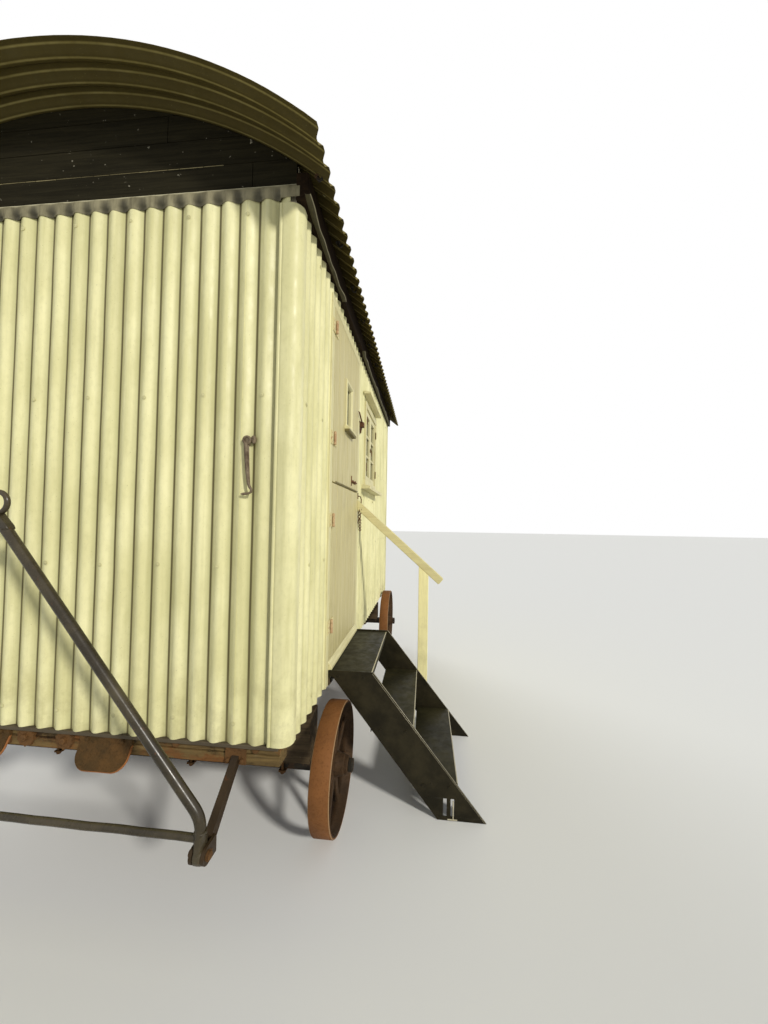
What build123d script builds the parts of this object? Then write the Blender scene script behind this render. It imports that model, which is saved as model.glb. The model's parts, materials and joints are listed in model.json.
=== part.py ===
"""A shepherds hut on cast-iron wheels, 1.9 m wide and 3.3 m long, in millimetres.

The hut is worked out about its own middle, with x towards the door side, y towards the
rear and the ground at z = 0, and shift() then moves every piece by the same amount.
"""

import math
import os

from build123d import *

# Corrugated sheet
PITCH = 76.2
CORRUGATION_DEPTH = 18.0
SHEET = 3.0
PROFILE_POINTS = 8
SHEET_GAP = 1.0

# Body
WIDTH_PITCH_COUNT = 25
LENGTH_PITCH_COUNT = 43
WALL = 60.0
SHEETS_BOTTOM = 575.0
SIDE_SHEETS_TOP = 2520.0
END_SHEETS_TOP = 2560.0
FLOOR_TOP = 690.0
FLOOR_THICKNESS = 25.0
BEARER_WIDTH = 75.0
BEARER_COUNT = 5
END_CREST_X = 60.0
SIDE_CREST_FROM_END = 40.0
SEAT_GAP = 0.3

# Corner sheets
CORNER_RADIUS = 45.0
CORNER_END_LEG = 84.0
CORNER_SIDE_LEG = 70.0

# Roof
ROOF_RADIUS = 1620.0
BEAM_ROOF_GAP = 9.0
ROOF_FLAT_SHARE = 0.3
EAVES_OVERHANG = 111.0
END_OVERHANG = 200.0
CEILING_THICKNESS = 13.0
CEILING_GAP = 2.0
EAVES_BEAM_DEPTH = 46.0
EAVES_BEAM_HEIGHT = 100.0
GABLE_BOARD = 16.0
FLASHING_HEIGHT = 56.0

# Chassis and wheels
RAIL_WIDTH = 75.0
RAIL_HEIGHT = 80.0
RAIL_FROM_MIDDLE = 380.0
END_BEAM_SIDE_GAP = 45.0
AXLE_FROM_END = 440.0
AXLE_BAR = 50.0
BOLSTER_WIDTH = 120.0
BOLSTER_END_GAP = 40.0
FRONT_WHEEL_RADIUS = 265.0
REAR_WHEEL_RADIUS = 315.0
WHEEL_WIDTH = 85.0
WHEEL_BODY_GAP = 14.5
RIM_EDGE = 12.0
RIM_RIDGE = 28.0
RIM_RIDGE_WIDTH = 18.0
HUB_RADIUS = 52.0
HUB_END_RADIUS = 38.0
HUB_BARREL = 42.0
HUB_PROUD = 26.0
SPOKE_COUNT = 8
SPOKE_ROOT = 46.0
SPOKE_TIP = 32.0
SPOKE_THICKNESS = 14.0
STUB_RADIUS = 22.5
RUNNING_FIT = 0.05
AXLE_NUT = 62.0
AXLE_NUT_LENGTH = 20.0

# Drawbar, folded up against the front end
PIVOT_FORWARD = 188.0
PIVOT_HEIGHT = 358.0
PIVOT_FROM_MIDDLE = 748.0
DRAWBAR_LEAN = 0.5
LEG_RADIUS = 17.0
LEG_FOOT_INWARD = 5.3
LEG_BEND_HEIGHT = 109.0
LEG_MEET_HEIGHT = 1007.0
LEG_CUT_BELOW_MEET = 42.0
LEG_BEND_RADIUS = 70.0
KNUCKLE_THICKNESS = 26.0
KNUCKLE_RADIUS = 28.0
KNUCKLE_SHANK = 45.0
KNUCKLE_HEIGHT = 66.0
LEG_WELD = 4.0
CROSSBAR_HEIGHT = 47.0
CROSSBAR_RADIUS = 12.0
EYE_ABOVE_MEET = 45.0
EYE_BORE_RADIUS = 26.0
EYE_WIRE_RADIUS = 9.0
EYE_WIRE_SIDE_COUNT = 8
EYE_NECK_WIDTH = 27.0
EYE_HEAD_THICKNESS = 30.0
PIN_RADIUS = 8.0
CHEEK_THICKNESS = 10.0
CHEEK_GAP = 1.0
CHEEK_RADIUS = 26.0
ARM_WIDTH = 26.0
ARM_THICKNESS = 34.0
ARM_FOOT_HEIGHT = 500.0

# Ironwork under the front end
PLATE_FROM_MIDDLE = 243.0
PLATE_WIDTH = 222.0
PLATE_THICKNESS = 12.0
PLATE_CORNER = 60.0
PLATE_TOP = 565.0
PLATE_BEND_HEIGHT = 535.0
PLATE_LENGTH = 108.0
PLATE_FLARE = 28.0
STAR_FROM_MIDDLE = 80.0
STAR_RADIUS = 38.0
STAR_THICKNESS = 12.0
STAR_POINT_COUNT = 5

# Hook on the front end
HOOK_CRESTS_OUT = 9.35
HOOK_TOP = 1675.0
HOOK_PLATE_WIDTH = 34.0
HOOK_PLATE_HEIGHT = 50.0
HOOK_PLATE_THICKNESS = 8.0
HOOK_ROD_RADIUS = 6.0
HOOK_ROD_LENGTH = 190.0
HOOK_STANDOFF = 24.0
HOOK_BOSS_RADIUS = 9.0
HOOK_TURN = 12.0

# Door
DOOR_FROM_FRONT = 535.0
DOOR_WIDTH = 690.0
DOOR_BOTTOM = 696.0
DOOR_SPLIT = 1560.0
DOOR_TOP = 2425.0
DOOR_GAP = 5.0
DOOR_THICKNESS = 42.0
SPLIT_GAP = 6.0
POST_WIDTH = 48.0
HEAD_HEIGHT = 45.0
THRESHOLD_HEIGHT = 52.0
THRESHOLD_PROUD = 6.0
WEATHERBOARD_HEIGHT = 44.0
WEATHERBOARD_PROUD = 16.0
HINGE_AXIS_PROUD = 10.0
HINGE_RADIUS = 7.0
HINGE_PIN_RADIUS = 4.0
HINGE_HEIGHT = 64.0
HINGE_MIDDLE = 28.0
HINGE_STRAP = 60.0
HINGE_POST_STRAP = 45.0
HINGE_LEAF = 4.0
HINGE_PLAY = 1.0
HINGE_NECK_GAP = 2.0
LOWER_HINGES = (857.0, 1372.0)
UPPER_HINGES = (1775.0, 2326.0)
DOOR_WINDOW_FROM_HINGE = 275.0
DOOR_WINDOW_WIDTH = 190.0
DOOR_WINDOW_BOTTOM = 1905.0
DOOR_WINDOW_HEIGHT = 270.0
DOOR_WINDOW_BEAD = 22.0
PANE = 4.0
LATCH_FROM_HINGE = 545.0
LATCH_HEIGHT = 1615.0
LATCH_LENGTH = 150.0
LATCH_PLATE = 28.0
LATCH_BOLT_RADIUS = 7.0

# Windows
WINDOW_FROM_FRONT = 1500.0
WINDOW_WIDTH = 600.0
WINDOW_BOTTOM = 1640.0
WINDOW_HEIGHT = 630.0
WINDOW_FRAME = 42.0
WINDOW_PROUD = 10.0
CASEMENT_BAR = 40.0
CASEMENT_GAP = 2.0
CASEMENT_THICKNESS = 36.0
SILL_THICKNESS = 36.0
SILL_PROUD = 60.0
SILL_EXTRA = 75.0
DRIP_THICKNESS = 24.0
DRIP_PROUD = 48.0
DRIP_ABOVE = 40.0
DRIP_EXTRA = 40.0

# Steps and handrail
STEP_NEAR_FROM_FRONT = 520.0
STEP_WIDTH = 730.0
STRINGER_THICKNESS = 6.0
STRINGER_TOP = 652.0
STRINGER_TOP_LENGTH = 215.0
STRINGER_BAND = 222.0
STRINGER_REACH = 745.0
STRINGER_TAIL_HEIGHT = 30.0
TREAD_RISE = 237.0
TREAD_GOING = 205.0
TREAD_COUNT = 3
TREAD_THICKNESS = 5.0
TREAD_LIP = 32.0
TREAD_BELOW_TOP = 10.0
SLOT_WIDTH = 16.0
SLOT_HEIGHT = 80.0
SLOT_MIDDLE = 58.0
SLOT_PITCH = 34.0
POST_SECTION = 64.0
POST_THICKNESS = 44.0
HANDRAIL_POST_OUT = 412.0
HANDRAIL_POST_TOP = 1065.0
HANDRAIL_POST_BOTTOM = 130.0
RAIL_START_HEIGHT = 1515.0
RAIL_END_OUT = 575.0
RAIL_END_HEIGHT = 1000.0
RAIL_SECTION = 50.0

# Worked out from the sizes above
half_width = WIDTH_PITCH_COUNT * PITCH / 2
half_length = LENGTH_PITCH_COUNT * PITCH / 2
cladding_depth = CORRUGATION_DEPTH + 2 * SHEET
wall_face_x = half_width - cladding_depth
wall_face_y = half_length - cladding_depth
wall_inner_x = wall_face_x - WALL
wall_inner_y = wall_face_y - WALL
roof_half_span = half_width + EAVES_OVERHANG
roof_half_length = half_length + END_OVERHANG
roof_crest_radius = ROOF_RADIUS + SHEET + CORRUGATION_DEPTH
roof_half_angle = math.degrees(math.asin(roof_half_span / roof_crest_radius))
beam_outer_x = wall_face_x + EAVES_BEAM_DEPTH
beam_top = SIDE_SHEETS_TOP + EAVES_BEAM_HEIGHT
roof_middle_z = beam_top + BEAM_ROOF_GAP - math.sqrt(ROOF_RADIUS**2 - beam_outer_x**2)
roof_apex = roof_middle_z + ROOF_RADIUS
ceiling_radius = ROOF_RADIUS - CEILING_GAP - CEILING_THICKNESS
front = -half_length
door_hinge_y = front + DOOR_FROM_FRONT
door_free_y = door_hinge_y + DOOR_WIDTH
door_open_near = door_hinge_y - DOOR_GAP
door_open_far = door_free_y + DOOR_GAP
door_post_near = door_open_near - POST_WIDTH
door_post_far = door_open_far + POST_WIDTH
door_head_bottom = DOOR_TOP + DOOR_GAP
door_head_top = door_head_bottom + HEAD_HEIGHT
window_near = front + WINDOW_FROM_FRONT
window_far = window_near + WINDOW_WIDTH
window_top = WINDOW_BOTTOM + WINDOW_HEIGHT
rail_bottom = SHEETS_BOTTOM - RAIL_HEIGHT
wheel_inner_x = half_width + WHEEL_BODY_GAP
wheel_middle_x = wheel_inner_x + WHEEL_WIDTH / 2
hub_half = WHEEL_WIDTH / 2 + HUB_PROUD
axle_end = wheel_middle_x + hub_half + CHEEK_GAP + AXLE_NUT_LENGTH
hook_x = END_CREST_X + HOOK_CRESTS_OUT * PITCH
step_back_x = half_width + THRESHOLD_PROUD
step_near_y = front + STEP_NEAR_FROM_FRONT
step_far_y = step_near_y + STEP_WIDTH
pivot_y = front - PIVOT_FORWARD
origin_x = (step_back_x + STRINGER_REACH - axle_end) / 2
origin_y = (roof_half_length + pivot_y - KNUCKLE_RADIUS) / 2


def shift(shape):
    """The part's origin is under the middle of its box."""
    return Pos(-origin_x, -origin_y, 0) * shape


def save(name, *solids):
    """Write one named piece, which may be several like solids that don't touch."""
    moved = [shift(solid) for solid in solids]
    export_step(moved[0] if len(moved) == 1 else Compound(children=moved), f"parts/{name}.step")


def block(x0, x1, y0, y1, z0, z1):
    """A box between two corners."""
    return Pos((x0 + x1) / 2, (y0 + y1) / 2, (z0 + z1) / 2) * Box(
        abs(x1 - x0), abs(y1 - y0), abs(z1 - z0)
    )


def mirror_x(shape):
    return mirror(shape, Plane.YZ)


def mirror_y(shape):
    return mirror(shape, Plane.XZ)


def barrel(radius, y0, y1):
    """The solid under the roof's curve, out to a radius."""
    middle = Pos(0, (y0 + y1) / 2, roof_middle_z)
    return middle * Rot(90, 0, 0) * Cylinder(radius, y1 - y0)


def arc_shell(inner, outer, half_angle, y0, y1):
    """A curved sheet that follows the roof, between two radii."""
    start = 90 - half_angle
    size = 2 * half_angle
    lower = CenterArc((0, 0), inner, start, size)
    upper = CenterArc((0, 0), outer, start, size)
    face = make_face(
        [lower, upper, Line(lower @ 0, upper @ 0), Line(lower @ 1, upper @ 1)]
    )
    placed = Plane((0, y1, roof_middle_z), x_dir=(1, 0, 0), z_dir=(0, -1, 0)) * face
    return extrude(placed, y1 - y0)


def wave(along, crest):
    """How far the sheet lies behind its crests, as straight runs between the points."""
    turn = (along - crest) / PITCH * PROFILE_POINTS - 0.5
    low = math.floor(turn)
    share = turn - low
    heights = [math.cos(2 * math.pi * (n + 0.5) / PROFILE_POINTS) for n in (low, low + 1)]
    height = heights[0] + (heights[1] - heights[0]) * share
    return (1 - height / math.cos(math.pi / PROFILE_POINTS)) * CORRUGATION_DEPTH / 2


def corrugated(start, end, crest, z0, z1, place):
    """A corrugated sheet that stands on its edge, from start to end along a wall."""
    step = PITCH / PROFILE_POINTS
    first = math.floor((start - crest) / step - 0.5) + 1
    stations = [start]
    number = first
    while crest + (number + 0.5) * step < end:
        station = crest + (number + 0.5) * step
        if station > start:
            stations.append(station)
        number += 1
    stations.append(end)
    outer = [place(s, SHEET + wave(s, crest)) for s in stations]
    inner = [place(s, 2 * SHEET + wave(s, crest)) for s in reversed(stations)]
    face = make_face(Polyline(*outer, *inner, close=True))
    return Pos(0, 0, z0) * extrude(face, z1 - z0)


def on_right(along, behind):
    return (half_width - behind, along)


def on_left(along, behind):
    return (behind - half_width, along)


def on_front(along, behind):
    return (along, behind - half_length)


def on_rear(along, behind):
    return (along, half_length - behind)


def floor_and_chassis():
    """Floor boards on cross bearers, on two long rails between end beams."""
    bearer_top = FLOOR_TOP - FLOOR_THICKNESS
    floor = block(-wall_inner_x, wall_inner_x, -wall_inner_y, wall_inner_y, bearer_top, FLOOR_TOP)
    save("floor", floor)
    bearers = []
    run = 2 * wall_inner_y - BEARER_WIDTH
    for number in range(BEARER_COUNT):
        y = -wall_inner_y + run * number / (BEARER_COUNT - 1)
        bearers.append(
            block(-wall_inner_x, wall_inner_x, y, y + BEARER_WIDTH, SHEETS_BOTTOM, bearer_top)
        )
    save("floor_bearers", *bearers)
    beam_end = half_width - END_BEAM_SIDE_GAP
    beam_inner = wall_face_y - RAIL_WIDTH
    beam = block(-beam_end, beam_end, -wall_face_y, -beam_inner, rail_bottom, SHEETS_BOTTOM)
    save("end_beams", beam, mirror_y(beam))
    rail = Pos(RAIL_FROM_MIDDLE, 0, (rail_bottom + SHEETS_BOTTOM) / 2) * Box(
        RAIL_WIDTH, 2 * beam_inner, RAIL_HEIGHT
    )
    save("chassis_rails", rail, mirror_x(rail))


def walls():
    """Timber walls with their openings cut through, and curved tops under the roof."""
    under_roof = barrel(ROOF_RADIUS - SEAT_GAP, -half_length, half_length)
    under_ceiling = barrel(ceiling_radius - SEAT_GAP, -half_length, half_length)
    front_wall = block(
        -wall_face_x, wall_face_x, -wall_face_y, -wall_inner_y, SHEETS_BOTTOM, roof_apex
    )
    front_wall = front_wall & under_roof
    save("front_wall", front_wall)
    save("rear_wall", mirror_y(front_wall))

    def side(y0, y1, z0, z1):
        return block(wall_inner_x, wall_face_x, y0, y1, z0, z1) & under_ceiling

    window = block(wall_inner_x, wall_face_x, window_near, window_far, WINDOW_BOTTOM, window_top)
    save("right_wall_front", side(-wall_inner_y, door_post_near, SHEETS_BOTTOM, roof_apex))
    save("right_wall_over_door", side(door_post_near, door_post_far, door_head_top, roof_apex))
    save("right_wall_rear", side(door_post_far, wall_inner_y, SHEETS_BOTTOM, roof_apex) - window)
    left = side(-wall_inner_y, wall_inner_y, SHEETS_BOTTOM, roof_apex) - window
    save("left_wall", mirror_x(left))


def gables():
    """Boarded gable ends above the sheets, with a flashing between."""
    under_roof = barrel(ROOF_RADIUS - SEAT_GAP, -half_length, half_length)
    face = wall_face_y + GABLE_BOARD
    sheets_edge = END_SHEETS_TOP + SHEET
    gable = block(-wall_face_x, wall_face_x, -face, -wall_face_y, sheets_edge, roof_apex)
    gable = gable & under_roof
    save("front_gable", gable)
    save("rear_gable", mirror_y(gable))
    reach = half_width - CORNER_RADIUS
    upright = block(
        -reach,
        reach,
        -half_length,
        -half_length + SHEET,
        END_SHEETS_TOP - FLASHING_HEIGHT,
        END_SHEETS_TOP,
    )
    top = block(-reach, reach, -half_length, -wall_face_y, END_SHEETS_TOP, sheets_edge)
    flashing = upright + top
    save("gable_flashings", flashing, mirror_y(flashing))


def cladding():
    """Corrugated sheets on all four sides, in pieces around the door and the windows."""
    end_reach = half_width - CORNER_RADIUS
    save(
        "front_cladding",
        corrugated(-end_reach, end_reach, END_CREST_X, SHEETS_BOTTOM, END_SHEETS_TOP, on_front),
    )
    save(
        "rear_cladding",
        corrugated(-end_reach, end_reach, END_CREST_X, SHEETS_BOTTOM, END_SHEETS_TOP, on_rear),
    )
    side_reach = half_length - CORNER_RADIUS
    crest = front + SIDE_CREST_FROM_END
    over_near = door_post_near + SHEET_GAP
    over_far = door_post_far - SHEET_GAP
    sill_bottom = WINDOW_BOTTOM - SILL_THICKNESS
    window_pieces = [
        (window_near + SHEET_GAP, window_far - SHEET_GAP, SHEETS_BOTTOM, sill_bottom),
        (window_near + SHEET_GAP, window_far - SHEET_GAP, window_top, SIDE_SHEETS_TOP),
        (window_far, side_reach, SHEETS_BOTTOM, SIDE_SHEETS_TOP),
    ]
    right_pieces = [
        (-side_reach, door_post_near, SHEETS_BOTTOM, SIDE_SHEETS_TOP),
        (over_near, over_far, door_head_top, SIDE_SHEETS_TOP),
        (door_post_far, window_near, SHEETS_BOTTOM, SIDE_SHEETS_TOP),
    ] + window_pieces
    left_pieces = [(-side_reach, window_near, SHEETS_BOTTOM, SIDE_SHEETS_TOP)] + window_pieces
    sill_cut = sill_block(half_width - cladding_depth)
    for name, pieces, place, mirrored in (
        ("right_cladding", right_pieces, on_right, False),
        ("left_cladding", left_pieces, on_left, True),
    ):
        cut = mirror_x(sill_cut) if mirrored else sill_cut
        sheets = []
        for y0, y1, z0, z1 in pieces:
            sheets.append(corrugated(y0, y1, crest, z0, z1, place) - cut)
        save(name, *sheets)


def corner_sheets():
    """Plain rounded sheets over the corners, under the flashings."""
    inside = half_width - CORNER_RADIUS
    inside_y = half_length - CORNER_RADIUS
    arc = CenterArc((inside, -inside_y), CORNER_RADIUS, -90, 90)
    end_leg = Line((half_width - CORNER_END_LEG, -half_length), arc @ 0)
    side_leg = Line(arc @ 1, (half_width, -half_length + CORNER_SIDE_LEG))
    inner_arc = CenterArc((inside, -inside_y), CORNER_RADIUS - SHEET, -90, 90)
    inner_end = Line((half_width - CORNER_END_LEG, -half_length + SHEET), inner_arc @ 0)
    inner_side = Line(inner_arc @ 1, (half_width - SHEET, -half_length + CORNER_SIDE_LEG))
    face = make_face(
        [
            arc,
            end_leg,
            side_leg,
            inner_arc,
            inner_end,
            inner_side,
            Line(end_leg @ 0, inner_end @ 0),
            Line(side_leg @ 1, inner_side @ 1),
        ]
    )
    top = END_SHEETS_TOP - FLASHING_HEIGHT
    corner = Pos(0, 0, SHEETS_BOTTOM) * extrude(face, top - SHEETS_BOTTOM)
    pair = [corner, mirror_x(corner)]
    save("corner_sheets", *pair, *[mirror_y(each) for each in pair])


def sill_block(inner_x):
    """The space of the window sill, from a plane inside the wall outwards."""
    return block(
        inner_x,
        half_width + SILL_PROUD,
        window_near - SILL_EXTRA,
        window_far + SILL_EXTRA,
        WINDOW_BOTTOM - SILL_THICKNESS,
        WINDOW_BOTTOM,
    )


def roof_wave(y):
    """How far up the roof sheet stands at a place along it, from 0 in a trough to 1 on a crest."""
    turn = (y + half_length) / PITCH
    from_trough = abs(turn - round(turn))
    return min(max((from_trough - ROOF_FLAT_SHARE / 2) / (0.5 - ROOF_FLAT_SHARE), 0), 1)


def roof_profile():
    """The roof's section along its length: bare sheet past the ends, solid over the walls."""
    extra = math.ceil(END_OVERHANG / PITCH)
    fold = 0.5 - ROOF_FLAT_SHARE / 2
    stations = [-roof_half_length]
    for number in range(-extra, LENGTH_PITCH_COUNT + extra + 1):
        for turn in (-fold, -ROOF_FLAT_SHARE / 2, ROOF_FLAT_SHARE / 2, fold):
            y = (number + turn) * PITCH - half_length
            if abs(y) < roof_half_length:
                stations.append(y)
    stations.append(roof_half_length)
    under = [(y, ROOF_RADIUS + CORRUGATION_DEPTH * roof_wave(y)) for y in stations]
    outer = [(y, radius + SHEET) for y, radius in under]
    inner = [point for point in under if abs(point[0]) > half_length]
    return Polyline(*outer, *reversed(inner), close=True)


def roof():
    """Corrugated sheets bent over the hut to deep eaves, with a boarded ceiling inside."""
    section = Plane((0, 0, 0), x_dir=(0, 1, 0), z_dir=(1, 0, 0)) * make_face(roof_profile())
    sheets = revolve(Rot(0, -roof_half_angle, 0) * section, Axis.Y, 2 * roof_half_angle)
    save("roof_sheets", Pos(0, 0, roof_middle_z) * sheets)
    ceiling_angle = math.degrees(math.asin(wall_inner_x / ROOF_RADIUS))
    save(
        "ceiling_boards",
        arc_shell(
            ceiling_radius,
            ceiling_radius + CEILING_THICKNESS,
            ceiling_angle,
            -wall_inner_y,
            wall_inner_y,
        ),
    )
    beam = block(wall_face_x, beam_outer_x, -half_length, half_length, SIDE_SHEETS_TOP, beam_top)
    save("eaves_beams", beam, mirror_x(beam))


def door_frame():
    """Door posts, head, threshold and the weatherboard under the lower leaf."""
    outer = half_width
    inner = wall_inner_x
    posts = []
    for y in (door_post_near, door_open_far):
        posts.append(block(inner, outer, y, y + POST_WIDTH, SHEETS_BOTTOM, door_head_bottom))
    save("door_posts", *posts)
    save(
        "door_head",
        block(
            inner,
            outer,
            door_post_near,
            door_post_far,
            door_head_bottom,
            door_head_top,
        ),
    )
    threshold_top = SHEETS_BOTTOM + THRESHOLD_HEIGHT
    threshold = block(
        inner, outer + THRESHOLD_PROUD, door_open_near, door_open_far, SHEETS_BOTTOM, threshold_top
    )
    save("door_threshold", threshold)
    board_top = DOOR_BOTTOM - DOOR_GAP
    save(
        "door_weatherboard",
        block(
            outer - DOOR_THICKNESS,
            outer + WEATHERBOARD_PROUD,
            door_open_near,
            door_open_far,
            board_top - WEATHERBOARD_HEIGHT,
            board_top,
        ),
    )


def hinge_strap(y0, y1, height, tall):
    """A flat hinge strap on the face of a leaf or post."""
    return block(half_width, half_width + HINGE_LEAF, y0, y1, height - tall / 2, height + tall / 2)


def leaf_hinge(height):
    """The moving half of a butt hinge: a strap on the leaf and the middle knuckle."""
    knuckle = Cylinder(HINGE_RADIUS, HINGE_MIDDLE)
    knuckle = Pos(half_width + HINGE_AXIS_PROUD, door_hinge_y, height) * knuckle
    beside = door_hinge_y + HINGE_RADIUS + HINGE_PLAY
    strap = hinge_strap(beside, door_hinge_y + HINGE_STRAP, height, HINGE_HEIGHT)
    neck = hinge_strap(door_hinge_y, beside, height, HINGE_MIDDLE)
    bore = Cylinder(HINGE_PIN_RADIUS + RUNNING_FIT, HINGE_MIDDLE)
    bore = Pos(half_width + HINGE_AXIS_PROUD, door_hinge_y, height) * bore
    return knuckle + strap + neck - bore


def post_hinge(height):
    """The fixed half: a strap on the post, the two end knuckles and the pin."""
    end_height = (HINGE_HEIGHT - HINGE_MIDDLE) / 2 - HINGE_PLAY
    beside = door_hinge_y - HINGE_RADIUS - HINGE_PLAY
    shape = hinge_strap(door_hinge_y - HINGE_POST_STRAP, beside, height, HINGE_HEIGHT)
    axis_x = half_width + HINGE_AXIS_PROUD
    shape = shape + Pos(axis_x, door_hinge_y, height) * Cylinder(HINGE_PIN_RADIUS, HINGE_HEIGHT)
    for side in (-1, 1):
        middle = height + side * (HINGE_HEIGHT - end_height) / 2
        shape = shape + Pos(axis_x, door_hinge_y, middle) * Cylinder(HINGE_RADIUS, end_height)
        shape = shape + hinge_strap(beside, door_hinge_y - HINGE_NECK_GAP, middle, end_height)
    return shape


def door():
    """A stable door in two leaves, the upper one with a small window."""
    inner = half_width - DOOR_THICKNESS
    lower_top = DOOR_SPLIT - SPLIT_GAP / 2
    upper_bottom = DOOR_SPLIT + SPLIT_GAP / 2
    lower = block(inner, half_width, door_hinge_y, door_free_y, DOOR_BOTTOM, lower_top)
    save("door_lower_leaf", lower)
    save("door_lower_hinges", *[leaf_hinge(height) for height in LOWER_HINGES])
    pane_near = door_hinge_y + DOOR_WINDOW_FROM_HINGE
    pane_far = pane_near + DOOR_WINDOW_WIDTH
    pane_top = DOOR_WINDOW_BOTTOM + DOOR_WINDOW_HEIGHT
    hole = block(inner, half_width, pane_near, pane_far, DOOR_WINDOW_BOTTOM, pane_top)
    leaf = block(inner, half_width, door_hinge_y, door_free_y, upper_bottom, DOOR_TOP)
    save("door_upper_leaf", leaf - hole)
    save("door_upper_hinges", *[leaf_hinge(height) for height in UPPER_HINGES])
    save("post_hinges", *[post_hinge(height) for height in LOWER_HINGES + UPPER_HINGES])
    bead = DOOR_WINDOW_BEAD
    ring = block(
        inner, half_width + WINDOW_PROUD, pane_near, pane_far, DOOR_WINDOW_BOTTOM, pane_top
    ) - block(
        inner,
        half_width + WINDOW_PROUD,
        pane_near + bead,
        pane_far - bead,
        DOOR_WINDOW_BOTTOM + bead,
        pane_top - bead,
    )
    save("door_window_frame", ring)
    pane_x = half_width - DOOR_THICKNESS / 2
    save(
        "door_window_pane",
        block(
            pane_x,
            pane_x + PANE,
            pane_near + bead,
            pane_far - bead,
            DOOR_WINDOW_BOTTOM + bead,
            pane_top - bead,
        ),
    )
    latch_y = door_hinge_y + LATCH_FROM_HINGE
    plate = block(
        half_width,
        half_width + HINGE_LEAF,
        latch_y - LATCH_LENGTH / 2,
        latch_y + LATCH_LENGTH / 2,
        LATCH_HEIGHT - LATCH_PLATE / 2,
        LATCH_HEIGHT + LATCH_PLATE / 2,
    )
    bar = (
        Pos(half_width + HINGE_LEAF + LATCH_BOLT_RADIUS, latch_y, LATCH_HEIGHT)
        * Rot(90, 0, 0)
        * Cylinder(LATCH_BOLT_RADIUS, LATCH_LENGTH)
    )
    save("door_latch", plate + bar)


def windows():
    """One window in each side wall: frame, two casements with panes, sill and drip board."""
    inner = wall_inner_x
    outer = half_width + WINDOW_PROUD
    frame = block(inner, outer, window_near, window_far, WINDOW_BOTTOM, window_top) - block(
        inner,
        outer,
        window_near + WINDOW_FRAME,
        window_far - WINDOW_FRAME,
        WINDOW_BOTTOM + WINDOW_FRAME,
        window_top - WINDOW_FRAME,
    )
    save("window_frames", frame, mirror_x(frame))
    light_width = (WINDOW_WIDTH - 2 * WINDOW_FRAME - 3 * CASEMENT_GAP) / 2
    light_bottom = WINDOW_BOTTOM + WINDOW_FRAME + SEAT_GAP
    light_top = window_top - WINDOW_FRAME - CASEMENT_GAP
    casements = []
    panes = []
    light_outer = half_width
    light_inner = light_outer - CASEMENT_THICKNESS
    for number in range(2):
        y0 = window_near + WINDOW_FRAME + CASEMENT_GAP + number * (light_width + CASEMENT_GAP)
        y1 = y0 + light_width
        bars = block(light_inner, light_outer, y0, y1, light_bottom, light_top)
        hole = block(
            light_inner,
            light_outer,
            y0 + CASEMENT_BAR,
            y1 - CASEMENT_BAR,
            light_bottom + CASEMENT_BAR,
            light_top - CASEMENT_BAR,
        )
        casements.append(bars - hole)
        middle = (light_inner + light_outer) / 2
        panes.append(
            block(
                middle,
                middle + PANE,
                y0 + CASEMENT_BAR,
                y1 - CASEMENT_BAR,
                light_bottom + CASEMENT_BAR,
                light_top - CASEMENT_BAR,
            )
        )
    save("window_casements", *casements, *[mirror_x(each) for each in casements])
    save("window_panes", *panes, *[mirror_x(each) for each in panes])
    sill = sill_block(wall_face_x)
    save("window_sills", sill, mirror_x(sill))
    drip_bottom = window_top + DRIP_ABOVE
    drip = block(
        half_width - SHEET,
        half_width + DRIP_PROUD,
        window_near - DRIP_EXTRA,
        window_far + DRIP_EXTRA,
        drip_bottom,
        drip_bottom + DRIP_THICKNESS,
    )
    save("window_drip_boards", drip, mirror_x(drip))


def wheel(radius, x, y):
    """A cast wheel: a flat tyre with a ridge inside, tapered spokes and a barrel hub."""
    ridge_radius = radius - RIM_RIDGE
    edge_radius = radius - RIM_EDGE
    rim_profile = Polyline(
        (radius, -WHEEL_WIDTH / 2),
        (radius, WHEEL_WIDTH / 2),
        (edge_radius, WHEEL_WIDTH / 2),
        (ridge_radius, RIM_RIDGE_WIDTH / 2),
        (ridge_radius, -RIM_RIDGE_WIDTH / 2),
        (edge_radius, -WHEEL_WIDTH / 2),
        close=True,
    )
    bore_radius = STUB_RADIUS + RUNNING_FIT
    hub_profile = Polyline(
        (bore_radius, -hub_half),
        (HUB_END_RADIUS, -hub_half),
        (HUB_RADIUS, -HUB_BARREL / 2),
        (HUB_RADIUS, HUB_BARREL / 2),
        (HUB_END_RADIUS, hub_half),
        (bore_radius, hub_half),
        close=True,
    )
    rim = revolve(Plane.XZ * make_face(rim_profile), Axis.Z)
    hub = revolve(Plane.XZ * make_face(hub_profile), Axis.Z)
    spoke_start = (bore_radius + HUB_RADIUS) / 2
    spoke_end = (ridge_radius + edge_radius) / 2
    spoke_face = make_face(
        Polyline(
            (spoke_start, -SPOKE_ROOT / 2),
            (spoke_end, -SPOKE_TIP / 2),
            (spoke_end, SPOKE_TIP / 2),
            (spoke_start, SPOKE_ROOT / 2),
            close=True,
        )
    )
    spoke = extrude(spoke_face, SPOKE_THICKNESS / 2, both=True)
    spokes = [Rot(0, 0, (number + 0.5) * 360 / SPOKE_COUNT) * spoke for number in range(SPOKE_COUNT)]
    body = rim.fuse(hub, *spokes)
    return Pos(x, y, radius) * Rot(0, 90, 0) * body


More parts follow.
